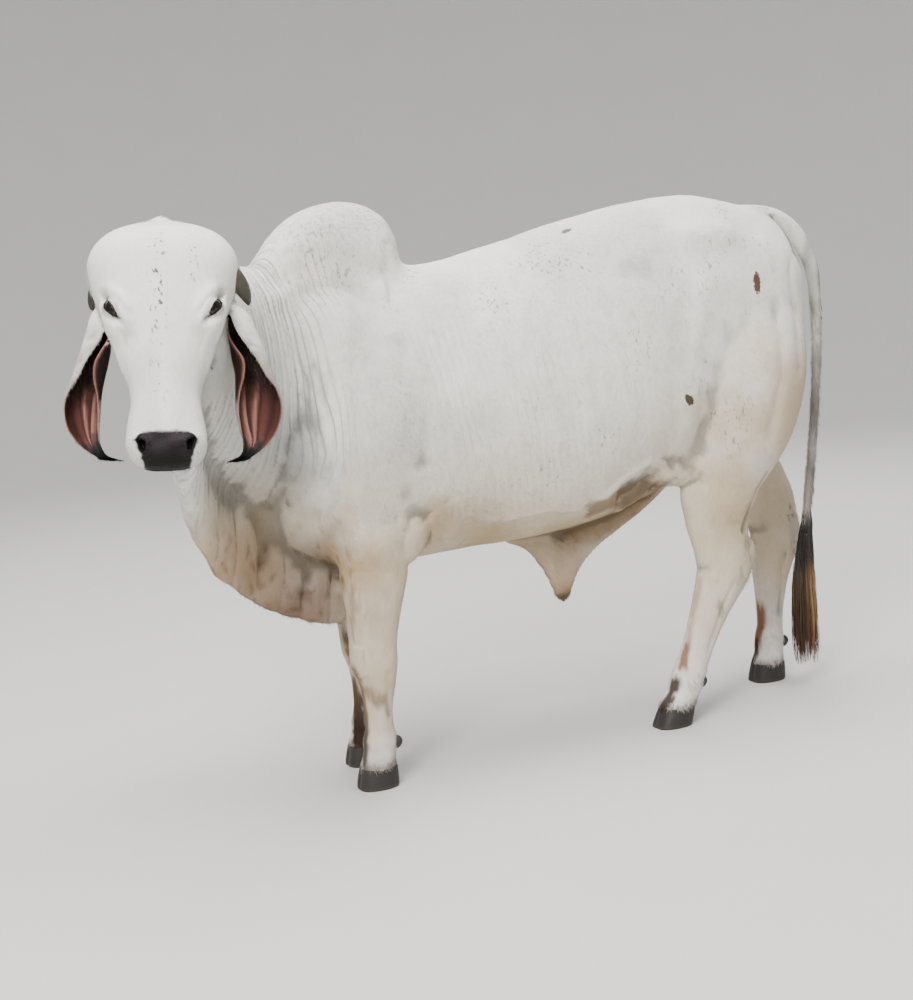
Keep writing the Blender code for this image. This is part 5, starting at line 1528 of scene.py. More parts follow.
def spikeMesh(name, roots, normals, lie, size, uv, tone, numbers, rng):
    # Short coat hair: a closed spike of four faces whose three-sided root is sunk in the skin
    count = len(roots)
    long, wide, lift = (k[:, None] for k in size)
    lie = laidFlat(lie, normals)
    side = np.cross(normals, lie)
    lie = unit(lie + side * rng.normal(0, 0.16, count)[:, None])
    side = np.cross(normals, lie)
    low = roots - normals * 0.0007
    points = np.stack([low - side * wide / 2, low + side * wide / 2,
                       roots + normals * wide * 0.28 + lie * long * 0.12,
                       roots + lie * long + normals * lift], 1)
    pattern = np.array([(0, 1, 3), (1, 2, 3), (2, 0, 3), (0, 2, 1)])
    solid = np.einsum("ij,ij->i", np.cross(points[:, 1] - points[:, 0], points[:, 3] - points[:, 0]),
                      points[:, 2] - points[:, 0]).mean()
    pattern = pattern if solid < 0 else pattern[:, ::-1]
    faces = (pattern[None] + 4 * np.arange(count)[:, None, None]).reshape(-1, 3)
    shade = unit(normals[:, None] + unit(points - points.mean(1, keepdims=True)) * 0.12)
    spots = np.array([(-1, -1), (1, -1), (0, -0.2), (0, 1)]) * 0.0014
    return meshFromTriangles(name, points.reshape(-1, 3), faces, (uv[:, None] + spots[None]).reshape(-1, 2),
                             np.repeat(tone, 4, 0), np.repeat(numbers, 4, 0), shade.reshape(-1, 3))


def meshFromTriangles(name, points, faces, uv, tone, numbers, shade=None):
    # A finished piece of hair with its bake map, tones, numbers and own shading normals
    mesh = bpy.data.meshes.new(name)
    mesh.vertices.add(len(points))
    mesh.vertices.foreach_set("co", (drawnIn(points) + bodyShift).astype(np.float32).ravel())
    mesh.loops.add(faces.size)
    mesh.loops.foreach_set("vertex_index", faces.astype(np.int32).ravel())
    mesh.polygons.add(len(faces))
    mesh.polygons.foreach_set("loop_start", np.arange(0, faces.size, 3, dtype=np.int32))
    mesh.polygons.foreach_set("use_smooth", np.ones(len(faces), bool))
    mesh.update(calc_edges=True)
    layer = mesh.uv_layers.new(name="OFBake")
    layer.data.foreach_set("uv", uv[faces.ravel()].astype(np.float32).ravel())
    setTone(mesh, tone)
    for word, values in zip(numberNames, numbers.T):
        setNumber(mesh, word, values)
    if shade is not None:
        mesh.normals_split_custom_set_from_vertices(shade.tolist())
    return linked(name, mesh)


# Each coat piece has coatTufts tufts. Their length, width and lift, in metres
coatTufts = 47000
coatPieces = {
    "coatHead": (0.0058, 0.0007, 0.0004),
    "coatNeck": (0.0085, 0.0009, 0.0006),
    "coatShoulder": (0.0090, 0.0010, 0.0006),
    "coatFlankNear": (0.0095, 0.0010, 0.0006),
    "coatFlankFar": (0.0095, 0.0010, 0.0006),
    "coatRump": (0.0095, 0.0010, 0.0006),
    "coatLegs": (0.0085, 0.0009, 0.0008),
}


def coatShare(name, points):
    # How much of a piece's coat grows at each point: the pieces share the body out along its length
    x, y, z = points.T
    head = headShare(points) > 0.5
    body = ~head & (z > 0.56)
    places = {
        "coatHead": head,
        "coatNeck": body & (x < -0.66),
        "coatShoulder": body & (x >= -0.66) & (x < -0.34),
        "coatFlankNear": body & (x >= -0.34) & (x < 0.36) & (y < 0),
        "coatFlankFar": body & (x >= -0.34) & (x < 0.36) & (y >= 0),
        "coatRump": body & (x >= 0.36),
        "coatLegs": ~head & (z <= 0.56),
    }
    return places[name].astype(float)


def rootsOn(data, weight, count, rng):
    # Random places on the skin, as many in each face as its area and weight ask
    chance = data.area * weight
    picked = rng.choice(len(data.faces), count, p=chance / chance.sum())
    s, t = np.sqrt(rng.random(count)), rng.random(count)
    shares = np.stack([1 - s, s * (1 - t), s * t], 1)
    corners = data.faces[picked]

    def blended(values):
        # The corners' values times their shares, added up
        return np.einsum("nk,nk...->n...", shares, values[corners])

    return blended(data.points), unit(blended(data.normals)), blended(data.tone), blended(data.numbers)


def growCoat(data):
    # Each coat piece: random roots by its share, with lengths, widths and lifts spread about their means
    rng = np.random.default_rng(7)
    made = []
    bare = np.clip(1 - 1.6 * data.numbers[:, 1] - data.numbers[:, 0], 0, 1)
    faceBare = bare[data.faces].mean(1)
    tufts = coatTufts // 1
    for name, sizes in coatPieces.items():
        weight = coatShare(name, data.middle) * faceBare
        weight *= 1 - nearEyes(data.middle, 0.024)
        if name == "coatHead":
            weight *= 0.6 + 0.8 * (toHead(data.middle)[:, 0] < 0.25)
        weight *= ramp(0.050, 0.060, data.middle[:, 2])
        roots, normals, tone, numbers = rootsOn(data, weight, tufts, rng)
        vary = rng.uniform(0.7, 1.25, tufts)
        size = [k * vary * rng.uniform(0.85, 1.15, tufts) for k in sizes]
        # Each tuft's tone is the skin's times 0.97 to 1.10, mostly lighter: painted light against the shade
        # among the raised tufts
        tone = tone * rng.uniform(0.97, 1.10, tufts)[:, None]
        uv = data.unwrapPlace(roots)
        made.append(spikeMesh(name, roots, normals, coatLie(roots), size, uv, np.clip(tone, 0, 1), numbers,
                              rng))
    return made


# Longer hair where the real coat stands out: tufts, length, width and lift
fringeValues = {
    "poll": (420, 0.014, 0.0012, 0.003), "earRim": (2600, 0.008, 0.0006, 0.0012),
    "earInside": (900, 0.018, 0.0006, 0.002), "chin": (300, 0.011, 0.0007, 0.005),
    "sheathTip": (360, 0.013, 0.0011, 0.004), "hock": (700, 0.022, 0.0014, 0.006),
    "coronet": (2600, 0.017, 0.0012, 0.003), "tailSides": (2200, 0.024, 0.0014, 0.004),
    "dewlapEdge": (900, 0.014, 0.0010, 0.004), "crest": (1400, 0.010, 0.0009, 0.0012),
    "hornBase": (600, 0.012, 0.0010, 0.003), "knee": (500, 0.016, 0.0014, 0.004),
}


def fringeWeight(place, data):
    # How likely the longer hair of one place is at each face
    p = data.middle
    x, y, z = p.T
    u, v, w = toHead(p).T
    head = headShare(p) > 0.5
    down = -data.normals[data.faces[:, 0]][:, 2]
    if place == "poll":
        return head * (u < 0.035) * (np.abs(v) < 0.045)
    if place in ("earRim", "earInside"):
        weight = np.zeros(len(p))
        for grid, facts in data.ears:
            close, index = placesOnEar(p, grid, 0.004)
            long, share, inside = facts[index].T
            if place == "earRim":
                weight[close] = (long > 0.15) & (long < 0.98) & ((share < 0.04) | (share > 0.96))
            else:
                weight[close] = (inside > 0.5) & (long > 0.10) & (long < 0.45)
        return weight
    if place == "chin":
        return head * (w < -0.135) * (u > 0.42)
    if place == "sheathTip":
        return ((np.abs(x - 0.034) < 0.030) & (z < 0.385) & (np.abs(y) < 0.06)).astype(float)
    if place == "hock":
        near = (y < 0) & (np.abs(x - 0.53 - 0.35 * (z - 0.42)) < 0.045) & (z > 0.36) & (z < 0.50)
        far = (y > 0) & (np.abs(x - 0.85) < 0.045) & (z > 0.36) & (z < 0.50)
        return (near | far).astype(float)
    if place == "coronet":
        return ((z > 0.050) & (z < 0.068)).astype(float)
    if place == "tailSides":
        return ((x > 0.80) & (np.abs(y) < 0.05) & (z < 1.10) & (z > 0.42)) * (0.3 + ramp(1.1, 0.5, z))
    if place == "dewlapEdge":
        return ((x < -0.50) & (down > 0.55) & (z < 0.80) & (np.abs(y) < 0.2)).astype(float) * ~head
    if place == "crest":
        return ((x > -0.80) & (x < -0.36) & (z > 1.36)).astype(float)
    if place == "hornBase":
        ring = np.abs(np.hypot(u - 0.112, w + 0.062) - 0.027) < 0.008
        return head * ring * (np.abs(v) > 0.10)
    # The knee is the place that is left
    return ((z > 0.10) & (z < 0.14) & (down > -0.2) & (x > -0.54)).astype(float) * (np.abs(y) < 0.2)


def growLashes(rng):
    # Black lashes in a row on the upper lid and a thin row on the lower one, swept outwards
    roots, normals, lies, longs = [], [], [], []
    for side in (1, -1):
        centre, slit, across, look = eyeFrame(side)
        for count, sign, long in ((60, 1, 0.008), (20, -1, 0.004)):
            a = rng.uniform(-0.80, 0.92, count) * eyeValues["halfLong"] / eyeValues["radius"]
            half, high = (eyeValues["halfLong"] / eyeValues["radius"],
                          eyeValues["halfHigh"] / eyeValues["radius"])
            b = sign * (high * np.clip(1 - (a / half) ** 2, 0, 1) ** 0.75
                        * (1.25 - 0.30 * a if sign > 0 else 0.80 + 0.15 * a)
                        + rng.uniform(0.03, 0.09, count))
            out = unit(np.stack([np.sin(a) * np.cos(b), np.sin(b), np.cos(a) * np.cos(b)], -1)
                       @ np.stack([slit, across, look]))
            roots.append(centre + out * (eyeValues["radius"] + 0.0020))
            normals.append(out)
            lies.append(-across * sign * 0.10 + slit * (0.10 + 0.7 * a[:, None]) - headAxes[2] * 0.1)
            longs.append(long * rng.uniform(0.75, 1.15, count))
    roots, normals, lies, longs = (np.concatenate(part) for part in (roots, normals, lies, longs))
    count = len(roots)
    size = [longs, np.full(count, 0.0005), longs * 0.35]
    tone = np.tile(linear("ink"), (count, 1))
    return roots, normals, lies, size, tone, np.zeros((count, len(numberNames)))


def growFringe(data):
    # All longer hair and the lashes as one piece
    rng = np.random.default_rng(19)
    parts = []
    for place, (tufts, long, wide, lift) in fringeValues.items():
        weight = fringeWeight(place, data).astype(float)
        roots, normals, tone, numbers = rootsOn(data, weight, tufts, rng)
        lie = coatLie(roots)
        if place in ("sheathTip", "chin", "dewlapEdge", "coronet", "tailSides"):
            lie = lie * 0.2 + np.array([0.05, 0, -1.0])
        if place == "poll":
            lie = -headAxes[0] * 0.6 + headAxes[2] * 0.3 + rng.normal(0, 0.3, (tufts, 3))
        if place.startswith("ear"):
            lie = np.array([0.0, 0.0, -1.0]) + rng.normal(0, 0.12, (tufts, 3))
        if place == "earInside":
            tone = mixed(tone, "brown", np.full(tufts, 0.5))
        if place == "coronet":
            lie = lie + rng.normal(0, 0.25, (tufts, 3))
            tone = mixed(tone, "brown", rng.uniform(0.1, 0.7, tufts))
        if place == "sheathTip":
            tone = mixed(tone, "brown", np.full(tufts, 0.45))
        vary = rng.uniform(0.6, 1.25, tufts)
        size = [k * vary for k in (long, wide, lift)]
        tone = tone * rng.uniform(0.88, 1.06, tufts)[:, None]
        parts.append((roots, normals, lie, size, tone, numbers))
    parts.append(growLashes(rng))
    roots, normals, lie, tone, numbers = [np.concatenate([part[k] for part in parts])
                                          for k in (0, 1, 2, 4, 5)]
    size = [np.concatenate([part[3][k] for part in parts]) for k in range(3)]
    return tuftMesh("coatFringe", roots, normals, unit(lie), size, data.unwrapPlace(roots),
                    np.clip(tone, 0, 1), numbers, rng)


# Switch: long locks from the end of the tail, dark at the front and blond to rust behind
switchValues = {"locks": 280, "strands": 460, "wide": 0.0085, "rows": 9}


def tailSwitch():
    # Flat tapered strips: a path from the root, out to its own place in the brush and in again at the tip
    v = switchValues
    rng = np.random.default_rng(31)
    count = v["locks"] + v["strands"]
    thin = np.arange(count) >= v["locks"]
    path = smoothRows([row[:3] for row in tailRows], 12)
    start = rng.uniform(0.0, 1.0, count) ** 1.3
    rootZ = 0.50 - 0.20 * start
    order = np.argsort(path[:, 2])
    middle = np.stack([np.interp(rootZ, path[order, 2], path[order, k]) for k in (0, 1)], 1)
    angle = rng.uniform(0, 2 * np.pi, count)
    ring = np.sqrt(rng.uniform(0.15, 1, count))
    t = np.linspace(0, 1, v["rows"])[None]
    tipZ = 0.058 + 0.13 * rng.uniform(0, 1, count) ** 1.4 + 0.14 * (rng.uniform(0, 1, count) < 0.22)
    z = rootZ[:, None] + (tipZ - rootZ)[:, None] * t
    swell = np.interp(z, [0.055, 0.10, 0.18, 0.27, 0.36, 0.44, 0.50],
                      [0.028, 0.035, 0.034, 0.029, 0.021, 0.011, 0.006])
    wave = 0.007 * np.sin(t * 5.0 + rng.uniform(0, 6, count)[:, None]) * t
    reach = (0.006 * (1 - t) + swell * ring[:, None]) + wave
    lean = np.interp(z, [0.06, 0.27, 0.34, 0.50], [0.789, 0.794, 0.800, 0.818])
    grow = ramp(0.0, 0.25, t)
    x = between(middle[:, 0:1], lean, grow) + np.cos(angle)[:, None] * reach * 1.05
    y = np.sin(angle)[:, None] * reach * 0.85
    spine = np.stack([x, y, z], -1)
    way = unit(np.gradient(spine, axis=1))
    outward = np.stack([np.cos(angle), np.sin(angle), 0 * angle], 1)[:, None] + 0 * way
    across = unit(np.cross(way, outward))
    turn = rng.normal(0, 0.5, count)[:, None, None]
    flatWay = unit(across * np.cos(turn) + np.cross(way, across) * np.sin(turn))
    thickWay = np.cross(way, flatWay)
    wide = np.where(thin, 0.0016, v["wide"] * rng.uniform(0.5, 1.1, count))[:, None]
    taper = ramp(-0.05, 0.2, t) * (1 - t**2.2) * wide * 0.5 + 0.0002
    thick = taper * 0.28 + 0.0002
    ringPlaces = [flatWay * taper[..., None], thickWay * thick[..., None], -flatWay * taper[..., None],
                  -thickWay * thick[..., None]]
    points = np.stack([spine + place for place in ringPlaces], 2)
    rows = v["rows"]
    quads = gridFaces(rows, 4)
    tris = np.concatenate([quads[:, [0, 1, 2]], quads[:, [0, 2, 3]], [(0, 2, 1), (0, 3, 2)],
                           [(4 * rows - 4, 4 * rows - 3, 4 * rows - 2),
                            (4 * rows - 4, 4 * rows - 2, 4 * rows - 1)]])
    one = points[0].reshape(-1, 3)
    a, b, c = one[tris[:, 0]], one[tris[:, 1]], one[tris[:, 2]]
    solid = np.einsum("ij,ij->i", np.cross(b - a, c - a), a - one.mean(0)).sum()
    tris = tris if solid > 0 else tris[:, ::-1]
    faces = (tris[None] + 4 * rows * np.arange(count)[:, None, None]).reshape(-1, 3)
    front = np.clip(0.5 - 0.9 * np.cos(angle), 0, 1)[:, None]
    tone = np.tile(linear("grey") * 0.55, (count, rows, 1))
    strong = rng.uniform(0.8, 1.1, count)[:, None]
    tone = mixed(tone, "switchDark", ramp(0.52, 0.46, z))
    tone = mixed(tone, "switchBlond", (1 - 0.85 * front) * ramp(0.37, 0.30, z) * 0.85 * strong)
    tone = mixed(tone, "switchRust", (0.55 + 0.45 * (1 - front)) * ramp(0.19, 0.10, z) * 0.95)
    tone = tone * rng.uniform(0.75, 1.2, count)[:, None, None]
    uvRoot = np.stack([0.05 + 0.9 * angle / (2 * np.pi), 0.05 + 0.9 * start], 1)
    spots = np.stack([np.tile([-1.0, 0.0, 1.0, 0.0], (rows, 1)),
                      np.repeat(np.linspace(-1, 1, rows)[:, None], 4, 1)], -1) * 0.0015
    uv = uvRoot[:, None, None] + spots[None]
    toneAll = np.clip(np.repeat(tone[:, :, None], 4, 2), 0, 1).reshape(-1, 3)
    numbers = np.zeros((count * rows * 4, len(numberNames)))
    return meshFromTriangles("tailSwitch", points.reshape(-1, 3), faces, uv.reshape(-1, 2), toneAll, numbers)


# Eyes, horns and claws

def shownGrid(name, grid, tone):
    # A grid as a finished piece: moved to its place, smooth, with its tone
    obj = gridObject(name, np.asarray(grid) + bodyShift)
    obj.data.polygons.foreach_set("use_smooth", np.ones(len(obj.data.polygons), bool))
    setTone(obj.data, np.vstack([tone.reshape(-1, 3), tone[0].mean(0), tone[-1].mean(0)]))
    return obj


# Half sizes of the pupil, and how far the cornea stands out
eyeLooks = {"pupilLong": 0.0070, "pupilHigh": 0.0040, "cornea": 0.0012}


def eyeBall(name, side):
    # Sphere about the way it looks, raised as a cornea over the iris, with a wide pupil
    centre, slit, across, look = eyeFrame(side)
    polar = np.linspace(0.002, np.pi - 0.05, 64)[:, None]
    turn = wholeTurn(64)[None]
    radius = eyeValues["radius"] + eyeLooks["cornea"] * ramp(0.62, 0.20, polar)
    axes = np.stack([slit, across, look])
    local = np.stack([np.sin(polar) * np.cos(turn), np.sin(polar) * np.sin(turn), np.cos(polar) + 0 * turn],
                     -1)
    place = local * radius[..., None]
    a, b = place[..., 0], place[..., 1]
    far = np.hypot(a, b)
    streak = 0.5 + 0.5 * np.sin(turn * 23 + 3 * np.sin(turn * 7)) * ramp(0.004, 0.009, far)
    dark, brown, white = linear((4, 3, 3)), linear((30, 18, 12)), linear((40, 31, 27))
    tone = brown * (0.6 + 0.5 * streak[..., None])
    tone = between(tone, dark, ramp(0.0110, 0.0128, far)[..., None])
    tone = between(tone, white, ramp(0.0140, 0.0180, far)[..., None])
    pupil = ramp(1.12, 0.92, np.hypot(a / eyeLooks["pupilLong"], b / eyeLooks["pupilHigh"]))[..., None]
    tone = between(tone, dark, pupil)
    return shownGrid(name, centre + place @ axes, tone)


def hornPiece(name, side):
    # Cone along its path with growth rings and a worn, rounded tip
    rows = smoothRows(hornLeftRows if side > 0 else hornRightRows, 10)
    path = fromHead(rows[:, :3] * (1, side, 1))
    way = unit(np.gradient(path, axis=0))
    across = unit(np.cross(way, headAxes[2]))
    front = np.cross(across, way)
    turn = wholeTurn(40)
    t = np.linspace(0, 1, len(rows))[:, None]
    ripple = (0.030 * creased(t * 11 * 2 * np.pi + 0.6 * np.sin(2 * turn)) * ramp(0.95, 0.5, t)
              + 0.010 * np.sin(17 * turn + 4 * t))
    radius = rows[:, 3:4] * (1 + ripple)
    grid = (path[:, None] + (np.cos(turn) * radius)[..., None] * front[:, None]
            + (np.sin(turn) * radius)[..., None] * across[:, None])
    share = ramp(0.15, 0.9, t + 0.08 * np.sin(3 * turn))[..., None]
    tone = between(linear((72, 66, 50)), linear((34, 30, 24)), share)
    tone = tone * (1 + 0.25 * creased(t * 11 * 2 * np.pi)[..., None] * ramp(1, 0.4, t)[..., None])
    return shownGrid(name, grid, np.clip(tone, 0, 1))


# Claws: top edge, length, width of one, the gap between two, and how far apart the growth rings are
clawValues = {"coronet": 0.0515, "long": 0.100, "wide": 0.044, "gap": 0.004, "rings": 0.0075}


def clawGrid(x, y, reach, way):
    # Half an oval at each height, straight along the cleft, rounded at the sole and ringed by growth
    v = clawValues
    z = np.r_[0.0, 0.0012, 0.004, np.linspace(0.008, v["coronet"], 15)][:, None]
    long = np.interp(z, [0, 0.0012, 0.004, 0.010, 0.030, v["coronet"]],
                     [0.955, 0.98, 0.995, 1.0, 0.965, 0.90])
    ring = 0.0035 * np.sin(z / v["rings"] * 2 * np.pi) * ramp(0.006, 0.012, z)
    lean = (reach - 0.046) * (1 - z / v["coronet"])
    turn = np.linspace(0, np.pi, 30)[None]
    half = v["long"] / 2 * (long + ring)
    along = x - lean - half * np.cos(turn)
    outer = v["gap"] / 2 + v["wide"] * (long + ring) * np.sin(turn) ** 0.62
    inner = np.linspace(0.72, -0.72, 12)[None]
    xs = np.concatenate([along, x - lean + half * inner], 1)
    ys = y + way * np.concatenate([outer, np.full((len(z), 12), v["gap"] / 2)], 1)
    grid = np.stack([xs, ys, z + 0 * xs], -1)
    tone = linear((38, 34, 31)) * (1 + 0.16 * np.sin(z / v["rings"] * 2 * np.pi + 1)[..., None]) + 0 * grid
    return grid, between(tone, linear((62, 54, 47)), ramp(0.014, 0.0, z)[..., None])


def clawPair(name, foot):
    # The two claws of a foot as one piece
    x, y, reach, _ = feetPlaces[foot]
    made = [shownGrid(name, *clawGrid(x, y, reach, way)) for way in (-1, 1)]
    return joinPieces(made, name)


def dewclawPair(name, foot):
    # Blunt studs that point down and back
    _, y, _, stud = feetPlaces[foot]
    made = []
    for side in (-1, 1):
        polar = np.linspace(0.04, np.pi - 0.04, 18)[:, None]
        turn = wholeTurn(24)[None]
        radius = 1 + 0.03 * np.sin(polar * 14)
        local = np.stack([np.sin(polar) * np.cos(turn) * radius * 0.0135
                          + 0.004 * (np.cos(polar) < 0) * np.cos(polar),
                          np.sin(polar) * np.sin(turn) * radius * 0.0105,
                          np.cos(polar) * 0.0165 + 0 * turn], -1)
        grid = np.array([stud, y + side * 0.018, 0.108]) + local
        tone = linear((44, 40, 37)) * (1 + 0.2 * np.sin(polar * 14)[..., None]) + 0 * grid
        made.append(shownGrid(name, grid, tone))
    return joinPieces(made, name)


# Materials

class Nodes:
    # Short hand for adding linked nodes to a material
    def __init__(self, name):
        # A new material with its shader
        self.material = bpy.data.materials.new(name)
        self.material.use_nodes = True
        self.tree = self.material.node_tree
        self.shader = self.tree.nodes["Principled BSDF"]

    def add(self, kind, values=None, **links):
        # A node with its settings or inputs from values, linked by input name, or by i and a number
        node = self.tree.nodes.new(kind)
        for key, value in (values or {}).items():
            if hasattr(node, key):
                setattr(node, key, value)
            else:
                node.inputs[key].default_value = value
        for key, socket in links.items():
            place = int(key[1:]) if key[0] == "i" and key[1:].isdigit() else key
            self.tree.links.new(socket, node.inputs[place])
        return node

    def link(self, socket, key):
        # Links a socket to an input of the shader
        self.tree.links.new(socket, self.shader.inputs[key])

    def give(self, values):
        # Fixed values of the shader's inputs
        for key, value in values.items():
            self.shader.inputs[key].default_value = value

    def number(self, name):
        # A number kept at the piece's corners
        return self.add("ShaderNodeAttribute", {"attribute_name": name}).outputs["Fac"]

    def tone(self):
        # The piece's own tone
        return self.add("ShaderNodeAttribute", {"attribute_name": "tone"}).outputs["Color"]

    def objectPlace(self, scale=(1, 1, 1)):
        # Object coordinates times the scale
        place = self.add("ShaderNodeTexCoord").outputs["Object"]
        node = self.add("ShaderNodeMapping")
        node.inputs["Scale"].default_value = scale
        self.tree.links.new(place, node.inputs["Vector"])
        return node.outputs["Vector"]

    def noise(self, place, scale, detail, rough=0.55):
        # Fractal noise from 0 to 1, with scale cells to a metre
        return self.add("ShaderNodeTexNoise", {"Scale": scale, "Detail": detail, "Roughness": rough},
                        Vector=place).outputs["Fac"]

    def spread(self, value, low, high, newLow, newHigh):
        # The range from low to high spread over newLow to newHigh, held at its ends
        node = self.add("ShaderNodeMapRange",
                        {"From Min": low, "From Max": high, "To Min": newLow, "To Max": newHigh}, Value=value)
        return node.outputs["Result"]

    def maths(self, operation, a, b=None, value=None):
        # One sum of a with b or with a fixed value
        node = self.add("ShaderNodeMath", {"operation": operation}, i0=a)
        if b is not None:
            self.tree.links.new(b, node.inputs[1])
        if value is not None:
            node.inputs[1].default_value = value
        return node.outputs[0]

    def scaled(self, colour, value):
        # The colour times the value
        node = self.add("ShaderNodeVectorMath", {"operation": "SCALE"}, i0=colour)
        self.tree.links.new(value, node.inputs["Scale"])
        return node.outputs[0]

    def mixColour(self, share, first, second):
        # From the first colour to the second by the share
        node = self.add("ShaderNodeMix", {"data_type": "RGBA"})
        self.tree.links.new(share, node.inputs[0])
        for key, value in ((6, first), (7, second)):
            if isinstance(value, (tuple, list, np.ndarray)):
                node.inputs[key].default_value = (*value[:3], 1)
            else:
                self.tree.links.new(value, node.inputs[key])
        return node.outputs[2]


# Marks on the hide: place, turn in degrees, half sizes and tone
hideMarks = [
    ((0.580, -0.183, 1.147), (0, 8, 0), (0.0125, 0.05, 0.030), (94, 68, 57)),
    ((0.328, -0.220, 0.868), (0, -35, 0), (0.011, 0.05, 0.018), (84, 74, 58)),
    ((0.085, -0.086, 1.322), (0, 75, 0), (0.004, 0.05, 0.017), (110, 106, 100)),
]


def hideMaterial():
    # Tone from the paint, broken up by mottling, hair streaks, flecks on the face, painted shade in the
    # pleats' valleys and the marks.
    # Bump for hair and leather
    m = Nodes("white hide")
    place = m.objectPlace()
    mottle = m.spread(m.noise(place, 14, 4, 0.6), 0.3, 0.7, 0.955, 1.03)
    streaks = m.spread(m.noise(m.objectPlace((1, 1, 0.22)), 260, 3, 0.6), 0.3, 0.7, 0.93, 1.05)
    colour = m.scaled(m.scaled(m.tone(), mottle), streaks)
    dots = m.noise(m.objectPlace((1, 1, 0.45)), 115, 2, 0.5)
    fleck = m.maths("MULTIPLY", m.spread(dots, 0.600, 0.655, 0, 0.9), m.number("fleck"))
    colour = m.mixColour(fleck, colour, linear((70, 66, 64)))
    # Pleats: a rounded wave of the phase, low in its narrow valleys, which are darkened with painted shade
    half = m.maths("MULTIPLY", m.number("pleat"), value=0.5)
    wave = m.maths("ABSOLUTE", m.maths("SINE", half))
    pleat = m.maths("POWER", wave, value=0.45)
    pleatShare = m.number("pleatShare")
    valley = m.maths("MULTIPLY", m.spread(pleat, 0.74, 0.28, 0, 0.85), pleatShare)
    colour = m.mixColour(valley, colour, linear("fold"))
    tatter = m.spread(m.noise(place, 150, 2), 0.3, 0.7, -0.25, 0.25)
    for centre, degrees, halves, mark in hideMarks:
        node = m.add("ShaderNodeMapping", {"vector_type": "TEXTURE"},
                     Vector=m.add("ShaderNodeTexCoord").outputs["Object"])
        node.inputs["Location"].default_value = tuple(np.array(centre) + bodyShift)
        node.inputs["Rotation"].default_value = tuple(math.radians(a) for a in degrees)
        node.inputs["Scale"].default_value = halves
        length = m.add("ShaderNodeVectorMath", {"operation": "LENGTH"},
                       i0=node.outputs["Vector"]).outputs["Value"]
        ragged = m.maths("ADD", length, tatter)
        colour = m.mixColour(m.spread(ragged, 1.05, 0.85, 0, 1), colour, linear(mark))
    m.link(colour, "Base Color")
    m.link(m.spread(m.number("gloss"), 0, 1, 0.74, 0.42), "Roughness")
    hair = m.noise(m.objectPlace((1, 1, 0.30)), 620, 2, 0.6)
    grain = m.add("ShaderNodeTexVoronoi", {"Scale": 330, "feature": "F1"}, Vector=place).outputs["Distance"]
    fine = m.add("ShaderNodeBump", {"Strength": 0.22, "Distance": 0.0012}, Height=hair)
    folds = m.add("ShaderNodeBump", {"Distance": 0.0026}, Height=pleat, Normal=fine.outputs["Normal"])
    m.tree.links.new(pleatShare, folds.inputs["Strength"])
    bump = m.add("ShaderNodeBump", {"Distance": 0.0016}, Height=grain, Normal=folds.outputs["Normal"])
    m.tree.links.new(m.maths("MULTIPLY", m.number("leather"), value=0.8), bump.inputs["Strength"])
    m.link(bump.outputs["Normal"], "Normal")
    m.give({"Specular IOR Level": 0.16})
    return m.material


def tonedMaterial(name, rough, bumpScale, bumpHigh, stretch, coat=0.0, level=0.5):
    # Tone from the piece's own attribute with fine noise in colour and bump
    m = Nodes(name)
    grain = m.noise(m.objectPlace(stretch), bumpScale, 4, 0.6)
    m.link(m.scaled(m.tone(), m.spread(grain, 0.3, 0.7, 0.80, 1.16)), "Base Color")
    m.link(m.spread(grain, 0.3, 0.7, rough - 0.08, rough + 0.08), "Roughness")
    bump = m.add("ShaderNodeBump", {"Strength": 0.5, "Distance": bumpHigh}, Height=grain)
    m.link(bump.outputs["Normal"], "Normal")
    m.give({"Coat Weight": coat, "Coat Roughness": 0.03, "Specular IOR Level": level})
    return m.material


def eyeMaterial():
    # Dark wet eye: its own tone under a clear coat
    m = Nodes("wet eye")
    veins = m.noise(m.objectPlace(), 420, 4, 0.6)
    m.link(m.scaled(m.tone(), m.spread(veins, 0.3, 0.7, 0.9, 1.08)), "Base Color")
    m.link(m.spread(veins, 0.3, 0.7, 0.10, 0.16), "Roughness")
    m.give({"Coat Weight": 0.35, "Coat Roughness": 0.02, "Specular IOR Level": 0.25})
    return m.material


# Studio: a pale floor that rises far off into a bowl, a broad overhead light, a soft key and a light from
# behind
studioValues = {"floorFlat": 7.5, "floorRim": 14.0, "floorHigh": 9.0, "floorTone": (200, 199, 196),
                "worldTone": (0.86, 0.90, 0.96), "worldStrength": 0.5}
studioLights = [
    # name, place, size, power, tone
    ("overhead", (0.0, -0.5, 8.6), 9.0, 1500, (1.0, 0.99, 0.97)),
    ("key", (-3.6, -4.2, 4.6), 2.2, 460, (1.0, 0.98, 0.94)),
    ("rear", (2.5, 4.6, 4.0), 3.0, 90, (0.96, 0.98, 1.0)),
]


